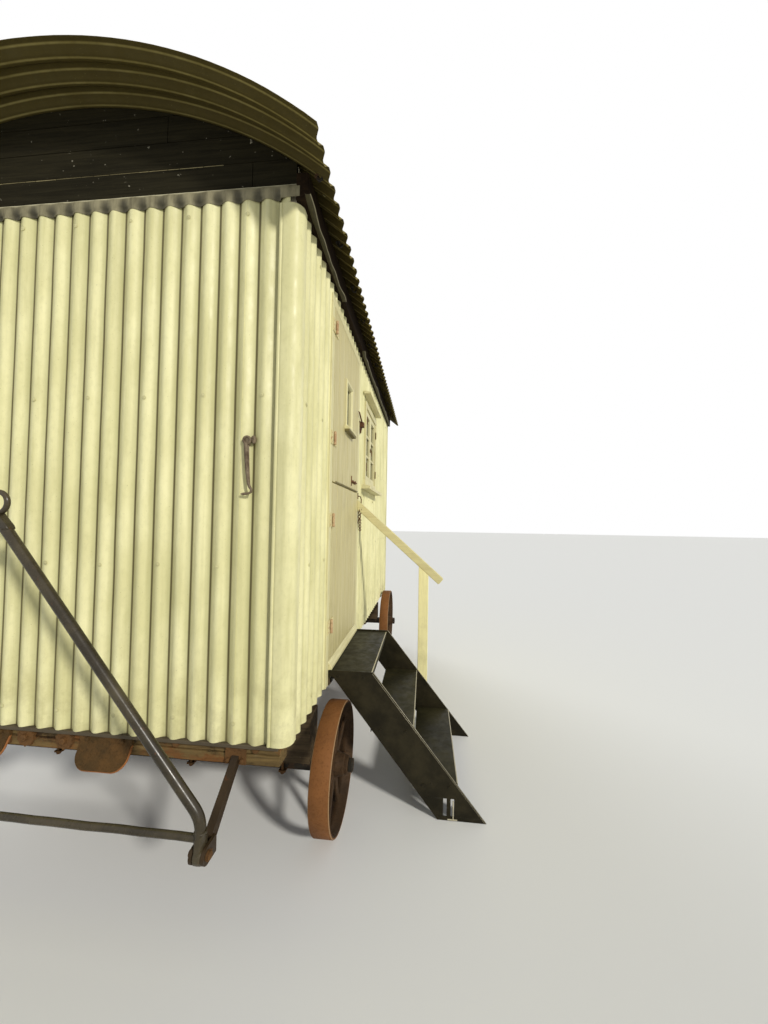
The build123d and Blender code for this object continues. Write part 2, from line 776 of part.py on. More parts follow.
def axle(radius, y):
    """A square axle bar with round stubs and a nut at each end."""
    collar = wheel_middle_x - hub_half - CHEEK_GAP
    half = AXLE_BAR / 2
    bar = block(-collar, collar, y - half, y + half, radius - half, radius + half)
    stub = Pos(0, y, radius) * Rot(0, 90, 0) * Cylinder(STUB_RADIUS, 2 * axle_end)
    nut = extrude(RegularPolygon(AXLE_NUT / 2, 6), AXLE_NUT_LENGTH)
    nut = Pos(axle_end - AXLE_NUT_LENGTH, y, radius) * Rot(0, 90, 0) * nut
    return bar + stub + nut + mirror_x(nut)


def bolster(radius, y):
    """The timber between an axle and the chassis rails."""
    end = half_width - BOLSTER_END_GAP
    half = BOLSTER_WIDTH / 2
    return block(-end, end, y - half, y + half, radius + AXLE_BAR / 2, rail_bottom)


def running_gear():
    """Two axles under timber bolsters, and four wheels, the rear ones larger."""
    axle_y = half_length - AXLE_FROM_END
    ends = (("front", FRONT_WHEEL_RADIUS, -axle_y), ("rear", REAR_WHEEL_RADIUS, axle_y))
    save("axles", *[axle(radius, y) for _, radius, y in ends])
    save("bolsters", *[bolster(radius, y) for _, radius, y in ends])
    for end, radius, y in ends:
        for side, x in (("left", -wheel_middle_x), ("right", wheel_middle_x)):
            save(f"{end}_{side}_wheel", wheel(radius, x, y))


def lean(shape):
    """Stand the drawbar on its pivot, leaning back towards the wall."""
    return Pos(0, pivot_y, PIVOT_HEIGHT) * Rot(-DRAWBAR_LEAN, 0, 0) * shape


def drawbar():
    """An A-shaped drawbar of two bent tubes that meet at a towing eye."""
    across = PIVOT_FROM_MIDDLE
    bend_x = across - LEG_FOOT_INWARD
    cut_height = LEG_MEET_HEIGHT - LEG_CUT_BELOW_MEET
    path = FilletPolyline(
        (across, 0, KNUCKLE_HEIGHT - LEG_WELD),
        (bend_x, 0, LEG_BEND_HEIGHT),
        (0, 0, LEG_MEET_HEIGHT),
        radius=LEG_BEND_RADIUS,
    )
    tube = sweep(Plane(path @ 0, z_dir=path % 0) * Circle(LEG_RADIUS), path)
    tube = split(tube, Plane.XY.offset(cut_height), keep=Keep.BOTTOM)
    half = KNUCKLE_THICKNESS / 2
    eye = Rot(0, 90, 0) * Cylinder(KNUCKLE_RADIUS, KNUCKLE_THICKNESS)
    shank = block(-half, half, -KNUCKLE_SHANK / 2, KNUCKLE_SHANK / 2, 0, KNUCKLE_HEIGHT)
    hole = Rot(0, 90, 0) * Cylinder(PIN_RADIUS + RUNNING_FIT, KNUCKLE_THICKNESS)
    knuckle = Pos(across, 0, 0) * (eye + shank - hole)
    leg = tube + knuckle
    save("drawbar_right_leg", lean(leg))
    save("drawbar_left_leg", lean(mirror_x(leg)))
    bar_length = 2 * (across - half)
    crossbar = Pos(0, 0, CROSSBAR_HEIGHT) * Rot(0, 90, 0) * Cylinder(CROSSBAR_RADIUS, bar_length)
    save("drawbar_crossbar", lean(crossbar))

    corner_turn = 180 / EYE_WIRE_SIDE_COUNT
    ring_radius = EYE_BORE_RADIUS + EYE_WIRE_RADIUS * math.cos(math.radians(corner_turn))
    eye_height = LEG_MEET_HEIGHT + EYE_ABOVE_MEET
    wire = Rot(0, 0, corner_turn) * RegularPolygon(EYE_WIRE_RADIUS, EYE_WIRE_SIDE_COUNT)
    ring = revolve(Pos(ring_radius, 0, 0) * wire, Axis.Y)
    leg_slope = bend_x / (LEG_MEET_HEIGHT - LEG_BEND_HEIGHT)
    leg_half = LEG_RADIUS / math.cos(math.atan(leg_slope))
    foot = leg_slope * LEG_CUT_BELOW_MEET + leg_half
    neck_height = eye_height - ring_radius
    head_face = make_face(
        Polyline(
            (-foot, cut_height),
            (foot, cut_height),
            (EYE_NECK_WIDTH / 2, neck_height),
            (-EYE_NECK_WIDTH / 2, neck_height),
            close=True,
        )
    )
    head = extrude(Plane.XZ * head_face, EYE_HEAD_THICKNESS / 2, both=True)
    save("drawbar_eye", lean(Pos(0, 0, eye_height) * ring + head))


def drawbar_arms():
    """Forked arms that carry the drawbar's two knuckles on pins."""
    half = KNUCKLE_THICKNESS / 2 + CHEEK_GAP
    outer = half + CHEEK_THICKNESS
    foot_y = -wall_face_y - pivot_y
    foot_z = ARM_FOOT_HEIGHT - PIVOT_HEIGHT
    back = KNUCKLE_RADIUS + CHEEK_THICKNESS
    arm_face = make_face(
        Polyline(
            (back, -CHEEK_RADIUS),
            (foot_y, foot_z),
            (foot_y, foot_z + ARM_THICKNESS),
            (back, CHEEK_RADIUS),
            close=True,
        )
    )
    arm = extrude(Plane((0, 0, 0), x_dir=(0, 1, 0), z_dir=(1, 0, 0)) * arm_face, ARM_WIDTH / 2, both=True)
    yoke = block(-outer, outer, back, back + CHEEK_THICKNESS, -CHEEK_RADIUS, CHEEK_RADIUS)
    tongue_face = Pos(back / 2, 0) * Rectangle(back, 2 * CHEEK_RADIUS)
    plane = Plane((-outer, 0, 0), x_dir=(0, 1, 0), z_dir=(1, 0, 0))
    cheek = extrude(plane * (Circle(CHEEK_RADIUS) + tongue_face), CHEEK_THICKNESS)
    pin = Rot(0, 90, 0) * Cylinder(PIN_RADIUS, 2 * outer)
    fork = arm + yoke + cheek + mirror_x(cheek) + pin
    fork = Pos(PIVOT_FROM_MIDDLE, pivot_y, PIVOT_HEIGHT) * fork
    save("drawbar_arms", fork, mirror_x(fork))


def front_ironwork():
    """Flared foot plates and star plates on the front beam, and a wall hook."""
    beam_face = -wall_face_y
    flare = math.radians(PLATE_FLARE)
    sheet = Pos(0, -PLATE_LENGTH / 2) * Rectangle(PLATE_WIDTH, PLATE_LENGTH)
    sheet = fillet(sheet.vertices().sort_by(Axis.Y)[:2], PLATE_CORNER)
    bend = Plane(
        (PLATE_FROM_MIDDLE, beam_face, PLATE_BEND_HEIGHT),
        x_dir=(1, 0, 0),
        z_dir=(0, -math.cos(flare), math.sin(flare)),
    )
    seat = block(
        PLATE_FROM_MIDDLE - PLATE_WIDTH / 2,
        PLATE_FROM_MIDDLE + PLATE_WIDTH / 2,
        beam_face - PLATE_THICKNESS,
        beam_face,
        PLATE_BEND_HEIGHT,
        PLATE_TOP,
    )
    plate = seat + extrude(bend * sheet, PLATE_THICKNESS)
    save("foot_plates", plate, mirror_x(plate))
    points = RegularPolygon(STAR_RADIUS, STAR_POINT_COUNT)
    star_face = points + Rot(0, 0, 180 / STAR_POINT_COUNT) * points
    star_z = (rail_bottom + SHEETS_BOTTOM) / 2
    star = Plane((STAR_FROM_MIDDLE, beam_face, star_z), x_dir=(1, 0, 0), z_dir=(0, -1, 0)) * star_face
    star = extrude(star, STAR_THICKNESS)
    save("star_plates", star, mirror_x(star))

    hook_edges = [hook_x - HOOK_PLATE_WIDTH / 2, hook_x + HOOK_PLATE_WIDTH / 2]
    hook_y = front + SHEET + min(wave(edge, END_CREST_X) for edge in hook_edges)
    plate = block(
        hook_x - HOOK_PLATE_WIDTH / 2,
        hook_x + HOOK_PLATE_WIDTH / 2,
        hook_y - HOOK_PLATE_THICKNESS,
        hook_y,
        HOOK_TOP - HOOK_PLATE_HEIGHT,
        HOOK_TOP,
    )
    rod_y = hook_y - HOOK_STANDOFF
    rod_top = HOOK_TOP - HOOK_PLATE_HEIGHT / 2
    rod_bottom = rod_top - HOOK_ROD_LENGTH
    boss = Cylinder(HOOK_BOSS_RADIUS, HOOK_STANDOFF)
    boss = Pos(hook_x, (hook_y + rod_y) / 2, rod_top) * Rot(90, 0, 0) * boss
    save("hook_bracket", plate + boss)
    path = Polyline(
        (hook_x, rod_y, rod_top - HOOK_BOSS_RADIUS),
        (hook_x, rod_y, rod_bottom + HOOK_TURN),
        (hook_x - HOOK_TURN, rod_y, rod_bottom),
        (hook_x - HOOK_PLATE_WIDTH, rod_y, rod_bottom),
    )
    section = Plane(path @ 0, z_dir=path % 0) * Circle(HOOK_ROD_RADIUS)
    save("hook_rod", sweep(section, path, transition=Transition.RIGHT))


def stringer_point(out, height):
    return (step_back_x + out, height)


def steps():
    """Folded steel steps: two flanged stringers and three treads between them."""
    reach = STRINGER_REACH
    slope = STRINGER_TOP / (reach - STRINGER_TOP_LENGTH)
    tail = STRINGER_TOP - STRINGER_TAIL_HEIGHT
    foot_back = reach - STRINGER_BAND
    outline = [
        stringer_point(0, STRINGER_TOP),
        stringer_point(STRINGER_TOP_LENGTH, STRINGER_TOP),
        stringer_point(reach, 0),
        stringer_point(foot_back, 0),
        stringer_point(foot_back - tail / slope, tail),
        stringer_point(0, tail),
    ]
    face = make_face(Polyline(*outline, close=True))
    slot_x = reach - STRINGER_BAND + SLOT_PITCH
    for number in range(2):
        x = step_back_x + slot_x + number * SLOT_PITCH
        face = face - Pos(x, SLOT_MIDDLE) * Rot(0, 0, 90) * SlotOverall(SLOT_HEIGHT, SLOT_WIDTH)
    near_plane = Plane((0, step_near_y, 0), x_dir=(1, 0, 0), z_dir=(0, -1, 0))
    near = extrude(near_plane * face, -STRINGER_THICKNESS)
    far = Pos(0, step_near_y + step_far_y, 0) * mirror_y(near)
    save("step_stringers", near, far)
    treads = []
    inner_near = step_near_y + STRINGER_THICKNESS
    inner_far = step_far_y - STRINGER_THICKNESS
    for number in range(TREAD_COUNT):
        top = STRINGER_TOP - TREAD_BELOW_TOP - number * TREAD_RISE
        x0 = step_back_x + number * TREAD_GOING
        x1 = x0 + TREAD_GOING
        plate = block(x0, x1, inner_near, inner_far, top - TREAD_THICKNESS, top)
        lip = block(x1 - TREAD_THICKNESS, x1, inner_near, inner_far, top - TREAD_LIP, top)
        back = block(x0, x0 + TREAD_THICKNESS, inner_near, inner_far, top - TREAD_LIP, top)
        treads.append(plate + lip + back)
    save("step_treads", *treads)


def handrail():
    """A sloping rail from the door post to an upright on the far stringer."""
    y0 = step_far_y
    y1 = y0 + POST_THICKNESS
    x0 = step_back_x + HANDRAIL_POST_OUT
    x1 = x0 + POST_SECTION
    start = (step_back_x - THRESHOLD_PROUD, RAIL_START_HEIGHT)
    end = (step_back_x + RAIL_END_OUT, RAIL_END_HEIGHT)
    run = end[0] - start[0]
    slope = (end[1] - start[1]) / run
    depth = RAIL_SECTION / math.cos(math.atan(slope))
    fall = math.atan(-slope)
    corner = (end[0] - RAIL_SECTION * math.sin(fall), end[1] - RAIL_SECTION * math.cos(fall))
    rail_face = make_face(Polyline(start, end, corner, (start[0], start[1] - depth), close=True))
    plane = Plane((0, y0, 0), x_dir=(1, 0, 0), z_dir=(0, -1, 0))
    save("handrail", extrude(plane * rail_face, -POST_THICKNESS))
    under0 = start[1] - depth + slope * (x0 - start[0])
    under1 = start[1] - depth + slope * (x1 - start[0])
    post_face = make_face(
        Polyline(
            (x0, HANDRAIL_POST_BOTTOM),
            (x1, HANDRAIL_POST_BOTTOM),
            (x1, under1),
            (x0, under0),
            close=True,
        )
    )
    save("handrail_post", extrude(plane * post_face, -POST_THICKNESS))


os.makedirs("parts", exist_ok=True)
floor_and_chassis()
walls()
gables()
cladding()
corner_sheets()
roof()
door_frame()
door()
windows()
running_gear()
drawbar()
drawbar_arms()
front_ironwork()
steps()
handrail()
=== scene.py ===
"""Looks of the shepherds hut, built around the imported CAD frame. All lengths are in metres."""
import json
import math
import random

import bmesh
import bpy
from mathutils import Matrix, Vector, noise


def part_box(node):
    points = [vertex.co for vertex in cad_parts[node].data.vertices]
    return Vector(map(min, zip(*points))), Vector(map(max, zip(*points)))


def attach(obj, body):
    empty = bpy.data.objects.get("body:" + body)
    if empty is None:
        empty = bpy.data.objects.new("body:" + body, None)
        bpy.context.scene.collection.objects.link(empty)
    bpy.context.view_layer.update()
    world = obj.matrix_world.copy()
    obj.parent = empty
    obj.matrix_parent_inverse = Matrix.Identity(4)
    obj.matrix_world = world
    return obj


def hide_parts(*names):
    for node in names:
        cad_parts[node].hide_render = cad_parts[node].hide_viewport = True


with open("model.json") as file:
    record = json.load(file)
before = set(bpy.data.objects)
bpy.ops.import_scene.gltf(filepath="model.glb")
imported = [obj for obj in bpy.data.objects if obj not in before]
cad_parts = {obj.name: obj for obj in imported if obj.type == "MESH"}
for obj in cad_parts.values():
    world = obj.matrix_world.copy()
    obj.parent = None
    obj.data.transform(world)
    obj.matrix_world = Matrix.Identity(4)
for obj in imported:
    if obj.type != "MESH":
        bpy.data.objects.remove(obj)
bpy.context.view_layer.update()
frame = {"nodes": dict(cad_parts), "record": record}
nodes = frame["nodes"]
random.seed(7)

# Sizes of the hut, about its own centreline
floor_low, floor_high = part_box("floor")
HUT_X = (floor_low.x + floor_high.x) / 2
HUT_Y = (floor_low.y + floor_high.y) / 2
PITCH = 0.0762
HALF_WIDTH = 25 * PITCH / 2
HALF_LENGTH = 43 * PITCH / 2
FRONT = -HALF_LENGTH
WAVE = 0.018
CREST_BEHIND = 0.003
END_CREST = 0.060
SIDE_CREST = FRONT + 0.040
SHEETS_BOTTOM = 0.575
SIDE_TOP = 2.520
END_TOP = 2.560
SHEET_THICK = 0.0016
SHEET_COVER = 8 * PITCH
LAP = 0.75 * PITCH
FACE_X = HALF_WIDTH - 0.024
FACE_Y = HALF_LENGTH - 0.024
INNER_X = FACE_X - 0.060
END_REACH = HALF_WIDTH - 0.045
SIDE_REACH = HALF_LENGTH - 0.045
CORNER_R = 0.045
END_LEG = 0.084
SIDE_LEG = 0.070
ROOF_R = 1.620
ROOF_Z = 1.33488
ROOF_THICK = 0.021
ROOF_HALF_LENGTH = HALF_LENGTH + 0.200
ROOF_HALF_ANGLE = math.asin((HALF_WIDTH + 0.111) / (ROOF_R + ROOF_THICK))
GABLE_GAP = 0.0014
GABLE_JOINT = 2.681
HINGE_Y = FRONT + 0.535
HINGE_X = HALF_WIDTH + 0.010
DOOR_WIDTH = 0.690
DOOR_IN = HALF_WIDTH - 0.042
FREE_Y = HINGE_Y + DOOR_WIDTH
DOOR_GAP = 0.005
POST = 0.048
POST_NEAR = HINGE_Y - DOOR_GAP - POST
POST_FAR = FREE_Y + DOOR_GAP + POST
DOOR_BOTTOM = 0.696
DOOR_SPLIT = 1.560
DOOR_TOP = 2.425
HEAD_TOP = DOOR_TOP + DOOR_GAP + 0.045
LOWER_HINGES = (0.857, 1.372)
UPPER_HINGES = (1.775, 2.326)
PANE_Y0 = HINGE_Y + 0.275
PANE_Y1 = PANE_Y0 + 0.190
PANE_Z0 = 1.905
PANE_Z1 = PANE_Z0 + 0.270
WIN_Y0 = FRONT + 1.500
WIN_Y1 = WIN_Y0 + 0.600
WIN_Z0 = 1.640
WIN_Z1 = 2.270
WIN_FRAME = 0.042
SILL_BOTTOM = WIN_Z0 - 0.036
SILL_REACH = 0.075
WHEEL_W = 0.085
WHEEL_X = HALF_WIDTH + 0.0145 + WHEEL_W / 2
HUB_PROUD = 0.026
AXLE_Y = HALF_LENGTH - 0.440
AXLES = (("front", 0.265, -AXLE_Y), ("rear", 0.315, AXLE_Y))
STEP_X = HALF_WIDTH + 0.006
STEP_Y0 = FRONT + 0.520
STEP_Y1 = STEP_Y0 + 0.730
TREAD_DEPTH = 0.205
TREAD_FALL = 0.237
ARM_X = 0.748
PIVOT_Y = FRONT - 0.188
PIVOT_Z = 0.358
LEAN = math.radians(0.5)
BEAM_BOTTOM = 0.495
CORE = 0.0001  # the radius where a turned profile closes on its axis
MATERIALS = {}


# ---------------------------------------------------------------- materials
def linear(colour):
    """A screen colour, 0 to 255, as linear light."""
    shares = [value / 255 for value in colour]
    return (*(c / 12.92 if c <= 0.04045 else ((c + 0.055) / 1.055) ** 2.4 for c in shares), 1.0)


class Look:
    """A material's node tree, with short calls for what the materials share."""

    def __init__(self, name, shine, **constants):
        material = MATERIALS[name] = bpy.data.materials.new(name)
        material.use_nodes = True
        self.tree = material.node_tree
        self.shader = self.tree.nodes["Principled BSDF"]
        self.place = self.node("TexCoord", "Object", {})
        self.surface({"Specular IOR Level": shine, **constants})

    def feed(self, socket, value):
        if isinstance(value, bpy.types.NodeSocket):
            self.tree.links.new(value, socket)
        else:
            socket.default_value = value

    def node(self, kind, output, inputs, **settings):
        """The output of a new node, its inputs linked or set."""
        node = self.tree.nodes.new("ShaderNode" + kind)
        for key, value in settings.items():
            setattr(node, key, value)
        for key, value in inputs.items():
            self.feed(node.inputs[key], value)
        return node.outputs[output]

    def surface(self, values):
        for key, value in values.items():
            self.feed(self.shader.inputs[key], value)

    def noise(self, scale, detail=4.0, rough=0.55, stretch=(1, 1, 1), shift=(0, 0, 0), distort=0.0):
        place = self.node("Mapping", "Vector", {"Vector": self.place, "Scale": stretch, "Location": shift})
        return self.node("TexNoise", "Fac", {
            "Vector": place, "Scale": scale, "Detail": detail, "Roughness": rough, "Distortion": distort})

    def ramp(self, source, low, high, low_value=0.0, high_value=1.0):
        return self.node("MapRange", "Result", {
            "Value": source, "From Min": low, "From Max": high, "To Min": low_value, "To Max": high_value,
        }, interpolation_type="SMOOTHSTEP")

    def math(self, kind, a, b):
        return self.node("Math", "Value", {0: a, 1: b}, operation=kind)

    def mix(self, factor, a, b):
        a, b = (linear(value) if isinstance(value, tuple) else value for value in (a, b))
        return self.node("Mix", "Result", {"Factor": factor, "A": a, "B": b}, data_type="RGBA")

    def axis(self, name):
        return self.node("SeparateXYZ", name, {"Vector": self.place})

    def turn(self, axis, crest):
        """Where a point lies in its wave along an axis: 0 on a crest, 0.5 in a trough."""
        waves = self.math("DIVIDE", self.math("SUBTRACT", self.axis(axis), crest), PITCH)
        return self.math("FRACT", waves, 0.0)

    def attribute(self, name):
        return self.node("Attribute", "Fac", {}, attribute_name=name)

    def bump(self, source, distance, strength):
        height = {"Strength": strength, "Distance": distance, "Height": source}
        self.surface({"Normal": self.node("Bump", "Normal", height)})


def painted_sheet(name, light, base, grime, fall, axis=None, crest=0.0, slope=None, shine=0.35, dull=0.0):
    """Satin paint on thin sheet: pale blotches, rain streaks, troughs darkened as painted shade, a painted
    shadow line beside each trough where an axis is given, and painted shade on slopes where a slope colour is
    given.
    """
    m = Look(name, shine)
    blotch = m.ramp(m.noise(5.0, 5, 0.6, (1, 1, 0.5), (3, 1, 7)), 0.36, 0.66)
    streak = m.ramp(m.noise(24.0, 6, 0.62, (1, 1, 0.06), (1, 5, 2)), 0.42, 0.74)
    mottle = m.ramp(m.noise(70.0, 4, 0.6, (1, 1, 0.6)), 0.45, 0.75)
    body = m.mix(blotch, base, light)
    body = m.mix(m.math("MULTIPLY", streak, 0.42), body, grime)
    body = m.mix(m.math("MULTIPLY", mottle, 0.16), body, grime)
    # Darker where the trough mark is high: painted shade in the wall sheets' troughs and at the corner
    # sheets' folded beads.
    body = m.mix(m.ramp(m.attribute("trough"), 0.45, 1.0, 0.0, 0.46), body, grime)
    if axis:
        turn = m.turn(axis, crest)
        # A thin dark line on the flank just past each trough: a painted shadow of the crest.
        line = m.math("MULTIPLY", m.ramp(turn, 0.50, 0.56), m.ramp(turn, 0.61, 0.70, 1.0, 0.0))
        body = m.mix(line, body, (92, 84, 48))
    # Darker where the edge mark is high: painted shade on the roof's slopes and over its underside, leaving
    # narrow painted highlight lines at the flats.
    if slope:
        body = m.mix(m.ramp(m.attribute("edge"), 0.05, 0.60, 0.0, 0.92), body, slope)
    foot = m.ramp(m.axis("Z"), fall + 0.02, fall + 0.45, 0.30, 0.0)
    splash = m.math("MULTIPLY", foot, m.ramp(m.noise(11.0, 6, 0.7), 0.4, 0.65))
    body = m.mix(splash, body, (150, 141, 96))
    body = m.mix(m.ramp(m.noise(240.0, 2, 0.5), 0.70, 0.76, 0.0, 0.55), body, (120, 112, 70))
    rough = m.ramp(m.noise(18.0, 4, 0.6), 0.3, 0.7, 0.36 + dull, 0.56 + dull)
    m.surface({"Base Color": body, "Roughness": rough})
    m.bump(m.noise(34.0, 3, 0.5, (1, 1, 0.5)), 0.0012, 0.5)


def wood(name, light, dark, along, grime, knots, rough, wear, depth=0.0012, shine=0.3):
    """Timber with grain along one axis, a tone for each board and grime in patches."""
    m = Look(name, shine)
    stretch = {"X": (0.05, 1, 1), "Y": (1, 0.05, 1), "Z": (1, 1, 0.05)}[along]
    grain = m.noise(65.0, 8, 0.68, stretch, (2, 4, 1), 0.6)
    fine = m.noise(220.0, 5, 0.6, stretch, (1, 9, 3), 0.2)
    body = m.mix(m.ramp(grain, 0.34, 0.68), light, dark)
    body = m.mix(m.ramp(fine, 0.5, 0.8, 0.0, 0.35), body, grime)
    body = m.mix(m.ramp(m.attribute("tone"), 0.0, 1.0, 0.0, 0.28), body, grime)
    body = m.mix(m.ramp(m.noise(4.5, 6, 0.7, (1, 1, 1), (5, 2, 8)), 0.5, 0.72, 0.0, wear), body, grime)
    if knots:
        spots = m.ramp(m.noise(46.0, 3, 0.6, (1, 1, 1), (7, 7, 7)), 0.69, 0.76, 0.0, knots)
        body = m.mix(spots, body, (176, 170, 150))
    m.surface({"Base Color": body, "Roughness": m.ramp(grain, 0.3, 0.7, *rough)})
    m.bump(m.math("ADD", grain, m.math("MULTIPLY", fine, 0.5)), depth, 0.6)


def rusty(name, base, bright, deep, scale=1.0, rough=(0.62, 0.9), paint=None, cover=0.5, depth=0.0015):
    """Rust in three tones with pits, over what is left of the paint where there is some."""
    m = Look(name, 0.16)
    cloud = m.ramp(m.noise(9.0 * scale, 7, 0.66, (1, 1, 1), (4, 4, 1)), 0.32, 0.68)
    pits = m.noise(150.0 * scale, 6, 0.7)
    body = m.mix(cloud, base, bright)
    body = m.mix(m.ramp(pits, 0.50, 0.72, 0.0, 0.75), body, deep)
    dark = m.ramp(m.noise(30.0 * scale, 5, 0.7, (1, 1, 1), (9, 1, 2)), 0.52, 0.75, 0.0, 0.6)
    body = m.mix(dark, body, deep)
    if paint:
        patch = m.noise(16.0 * scale, 8, 0.72, (1, 1, 1), (2, 8, 5))
        body = m.mix(m.ramp(patch, cover - 0.05, cover + 0.05), paint, body)
    m.surface({"Base Color": body, "Roughness": m.ramp(pits, 0.35, 0.7, *rough)})
    m.bump(pits, depth, 0.7)


def worn_steel(name, base, scuff, rust, rough, cover, metallic=0.0, shine=0.28):
    """Black paint on steel, with scuffs, dust and rust specks."""
    m = Look(name, shine, Metallic=metallic)
    cloud = m.ramp(m.noise(7.0, 6, 0.65, (1, 1, 1), (3, 6, 2)), 0.35, 0.70)
    body = m.mix(m.math("MULTIPLY", cloud, 0.6), base, scuff)
    scratch = m.ramp(m.noise(90.0, 6, 0.7, (1, 0.2, 0.25), (1, 3, 8)), 0.60, 0.78, 0.0, 0.5)
    body = m.mix(scratch, body, scuff)
    spots = m.ramp(m.noise(38.0, 7, 0.75, (1, 1, 1), (8, 2, 4)), cover, cover + 0.07, 0.0, 0.85)
    body = m.mix(spots, body, rust)
    m.surface({"Base Color": body, "Roughness": m.ramp(m.noise(26.0, 5, 0.6), 0.3, 0.7, *rough)})
    m.bump(m.noise(120.0, 4, 0.6), 0.0006, 0.35)


def lead(name, light, dark, edge):
    """Dull lead: darker runs, flutes darkened as painted shade, and a paler edge as a painted highlight."""
    m = Look(name, 0.3, Roughness=0.55)
    body = m.mix(m.ramp(m.noise(30.0, 6, 0.65, (1, 1, 0.25)), 0.35, 0.7), light, dark)
    # Painted shade in the flutes, where the trough mark is high.
    body = m.mix(m.ramp(m.attribute("trough"), 0.15, 1.0, 0.0, 0.8), body, (44, 41, 29))
    # A painted highlight where the edge mark is high: the flashing's top roll and the eaves strip's outer
    # lip.
    body = m.mix(m.ramp(m.attribute("edge"), 0.5, 1.0, 0.0, 0.9), body, edge)
    m.surface({"Base Color": body})
    m.bump(m.noise(60.0, 4, 0.6), 0.0015, 0.6)


def window_glass():
    """Clear glass with a film of dust."""
    m = Look("window_glass", 0.18, **{"Transmission Weight": 0.85, "IOR": 1.45})
    body = m.mix(m.ramp(m.noise(14.0, 5, 0.6), 0.35, 0.75), (128, 134, 122), (98, 104, 94))
    m.surface({"Base Color": body, "Roughness": m.ramp(m.noise(30.0, 4, 0.6), 0.4, 0.75, 0.02, 0.12)})


def weathered():
    """Grey-brown timber with rust stains running from the ironwork."""
    m = Look("weathered_beam", 0.15, Roughness=0.8)
    grain = m.noise(60.0, 8, 0.7, (0.05, 1, 1), (2, 4, 1), 0.6)
    body = m.mix(m.ramp(grain, 0.34, 0.68), (122, 101, 63), (80, 65, 40))
    for spots, low, high, share, colour in (
        ((5.5, 7, 0.72, (1, 1, 1.6), (4, 1, 2)), 0.47, 0.60, 0.85, (112, 72, 38)),
        ((12.0, 7, 0.75, (0.5, 1, 1), (8, 3, 5)), 0.52, 0.64, 0.85, (34, 26, 17)),
        ((55.0, 6, 0.7, (0.3, 1, 1), (1, 2, 9)), 0.63, 0.74, 0.6, (132, 121, 94)),
    ):
        body = m.mix(m.ramp(m.noise(*spots), low, high, 0.0, share), body, colour)
    m.surface({"Base Color": body})
    m.bump(m.math("ADD", grain, m.noise(22.0, 6, 0.7)), 0.004, 0.7)


CREAM = ((232, 227, 177), (214, 209, 156), (172, 168, 116), SHEETS_BOTTOM)
# The roof's paint is darker than the walls', partly as painted shade for its shaded underside.
ROOF = ((136, 125, 77), (118, 107, 62), (94, 84, 45), -2.0)
PAINTED = (0.42, 0.62)
BARE = (0.7, 0.9)
LINING = ((214, 205, 178), (198, 187, 158))
LINING_GRIME = (160, 148, 120)
painted_sheet("cream_sheet", *CREAM)
# The end and side sheets also get the painted shadow line beside each trough.
painted_sheet("cream_sheet_ends", *CREAM, "X", END_CREST)
painted_sheet("cream_sheet_sides", *CREAM, "Y", SIDE_CREST)
# The roof's slope colour is painted shade for its slopes and underside.
painted_sheet("roof_sheet", *ROOF, None, 0.0, (67, 58, 27), 0.1, 0.3)
for look in (
    ("cream_timber", (218, 211, 162), (204, 196, 146), "Z", (164, 154, 108), 0.0, PAINTED, 0.30, 0.0008),
    ("cream_rail", (220, 211, 158), (205, 194, 142), "X", (160, 148, 102), 0.0, PAINTED, 0.3, 0.0008),
    ("cream_along", (218, 211, 162), (203, 194, 145), "Y", (164, 154, 108), 0.0, PAINTED, 0.3, 0.0008),
    ("wall_timber", *LINING, "Z", LINING_GRIME, 0.0, (0.5, 0.7), 0.2, 0.0006),
    ("ceiling_timber", *LINING, "Y", LINING_GRIME, 0.0, (0.5, 0.7), 0.2),
    ("black_boards", (41, 37, 22), (28, 25, 14), "X", (19, 17, 10), 0.6, BARE, 0.35, 0.0016, 0.1),
    ("board_edge", (160, 149, 108), (104, 95, 66), "X", (60, 54, 36), 0.0, (0.6, 0.85), 0.5, 0.0006),
    ("floor_boards", (150, 122, 84), (116, 90, 58), "Y", (70, 52, 32), 0.0, (0.5, 0.75), 0.35),
    ("cream_door", (198, 188, 136), (184, 173, 123), "Z", (148, 137, 95), 0.0, PAINTED, 0.30, 0.0008),
    # The post's cream is a paler copy of the cream paint, as painted light.
    ("cream_post", (246, 238, 180), (236, 227, 169), "Z", (180, 169, 118), 0.0, PAINTED, 0.30, 0.0008),
    ("sill_edge", (122, 112, 70), (100, 90, 54), "Y", (76, 68, 40), 0.0, (0.5, 0.75), 0.35, 0.0008),
    ("chassis_timber_across", (84, 69, 46), (54, 43, 27), "X", (34, 27, 17), 0.3, BARE, 0.5, 0.002),
    ("chassis_timber_along", (78, 64, 41), (50, 40, 25), "Y", (32, 25, 16), 0.3, BARE, 0.5, 0.002),
    ("dark_eaves", (42, 30, 17), (27, 19, 11), "Y", (17, 12, 7), 0.0, (0.75, 0.9), 0.5, 0.002, 0.08),
):
    wood(*look)
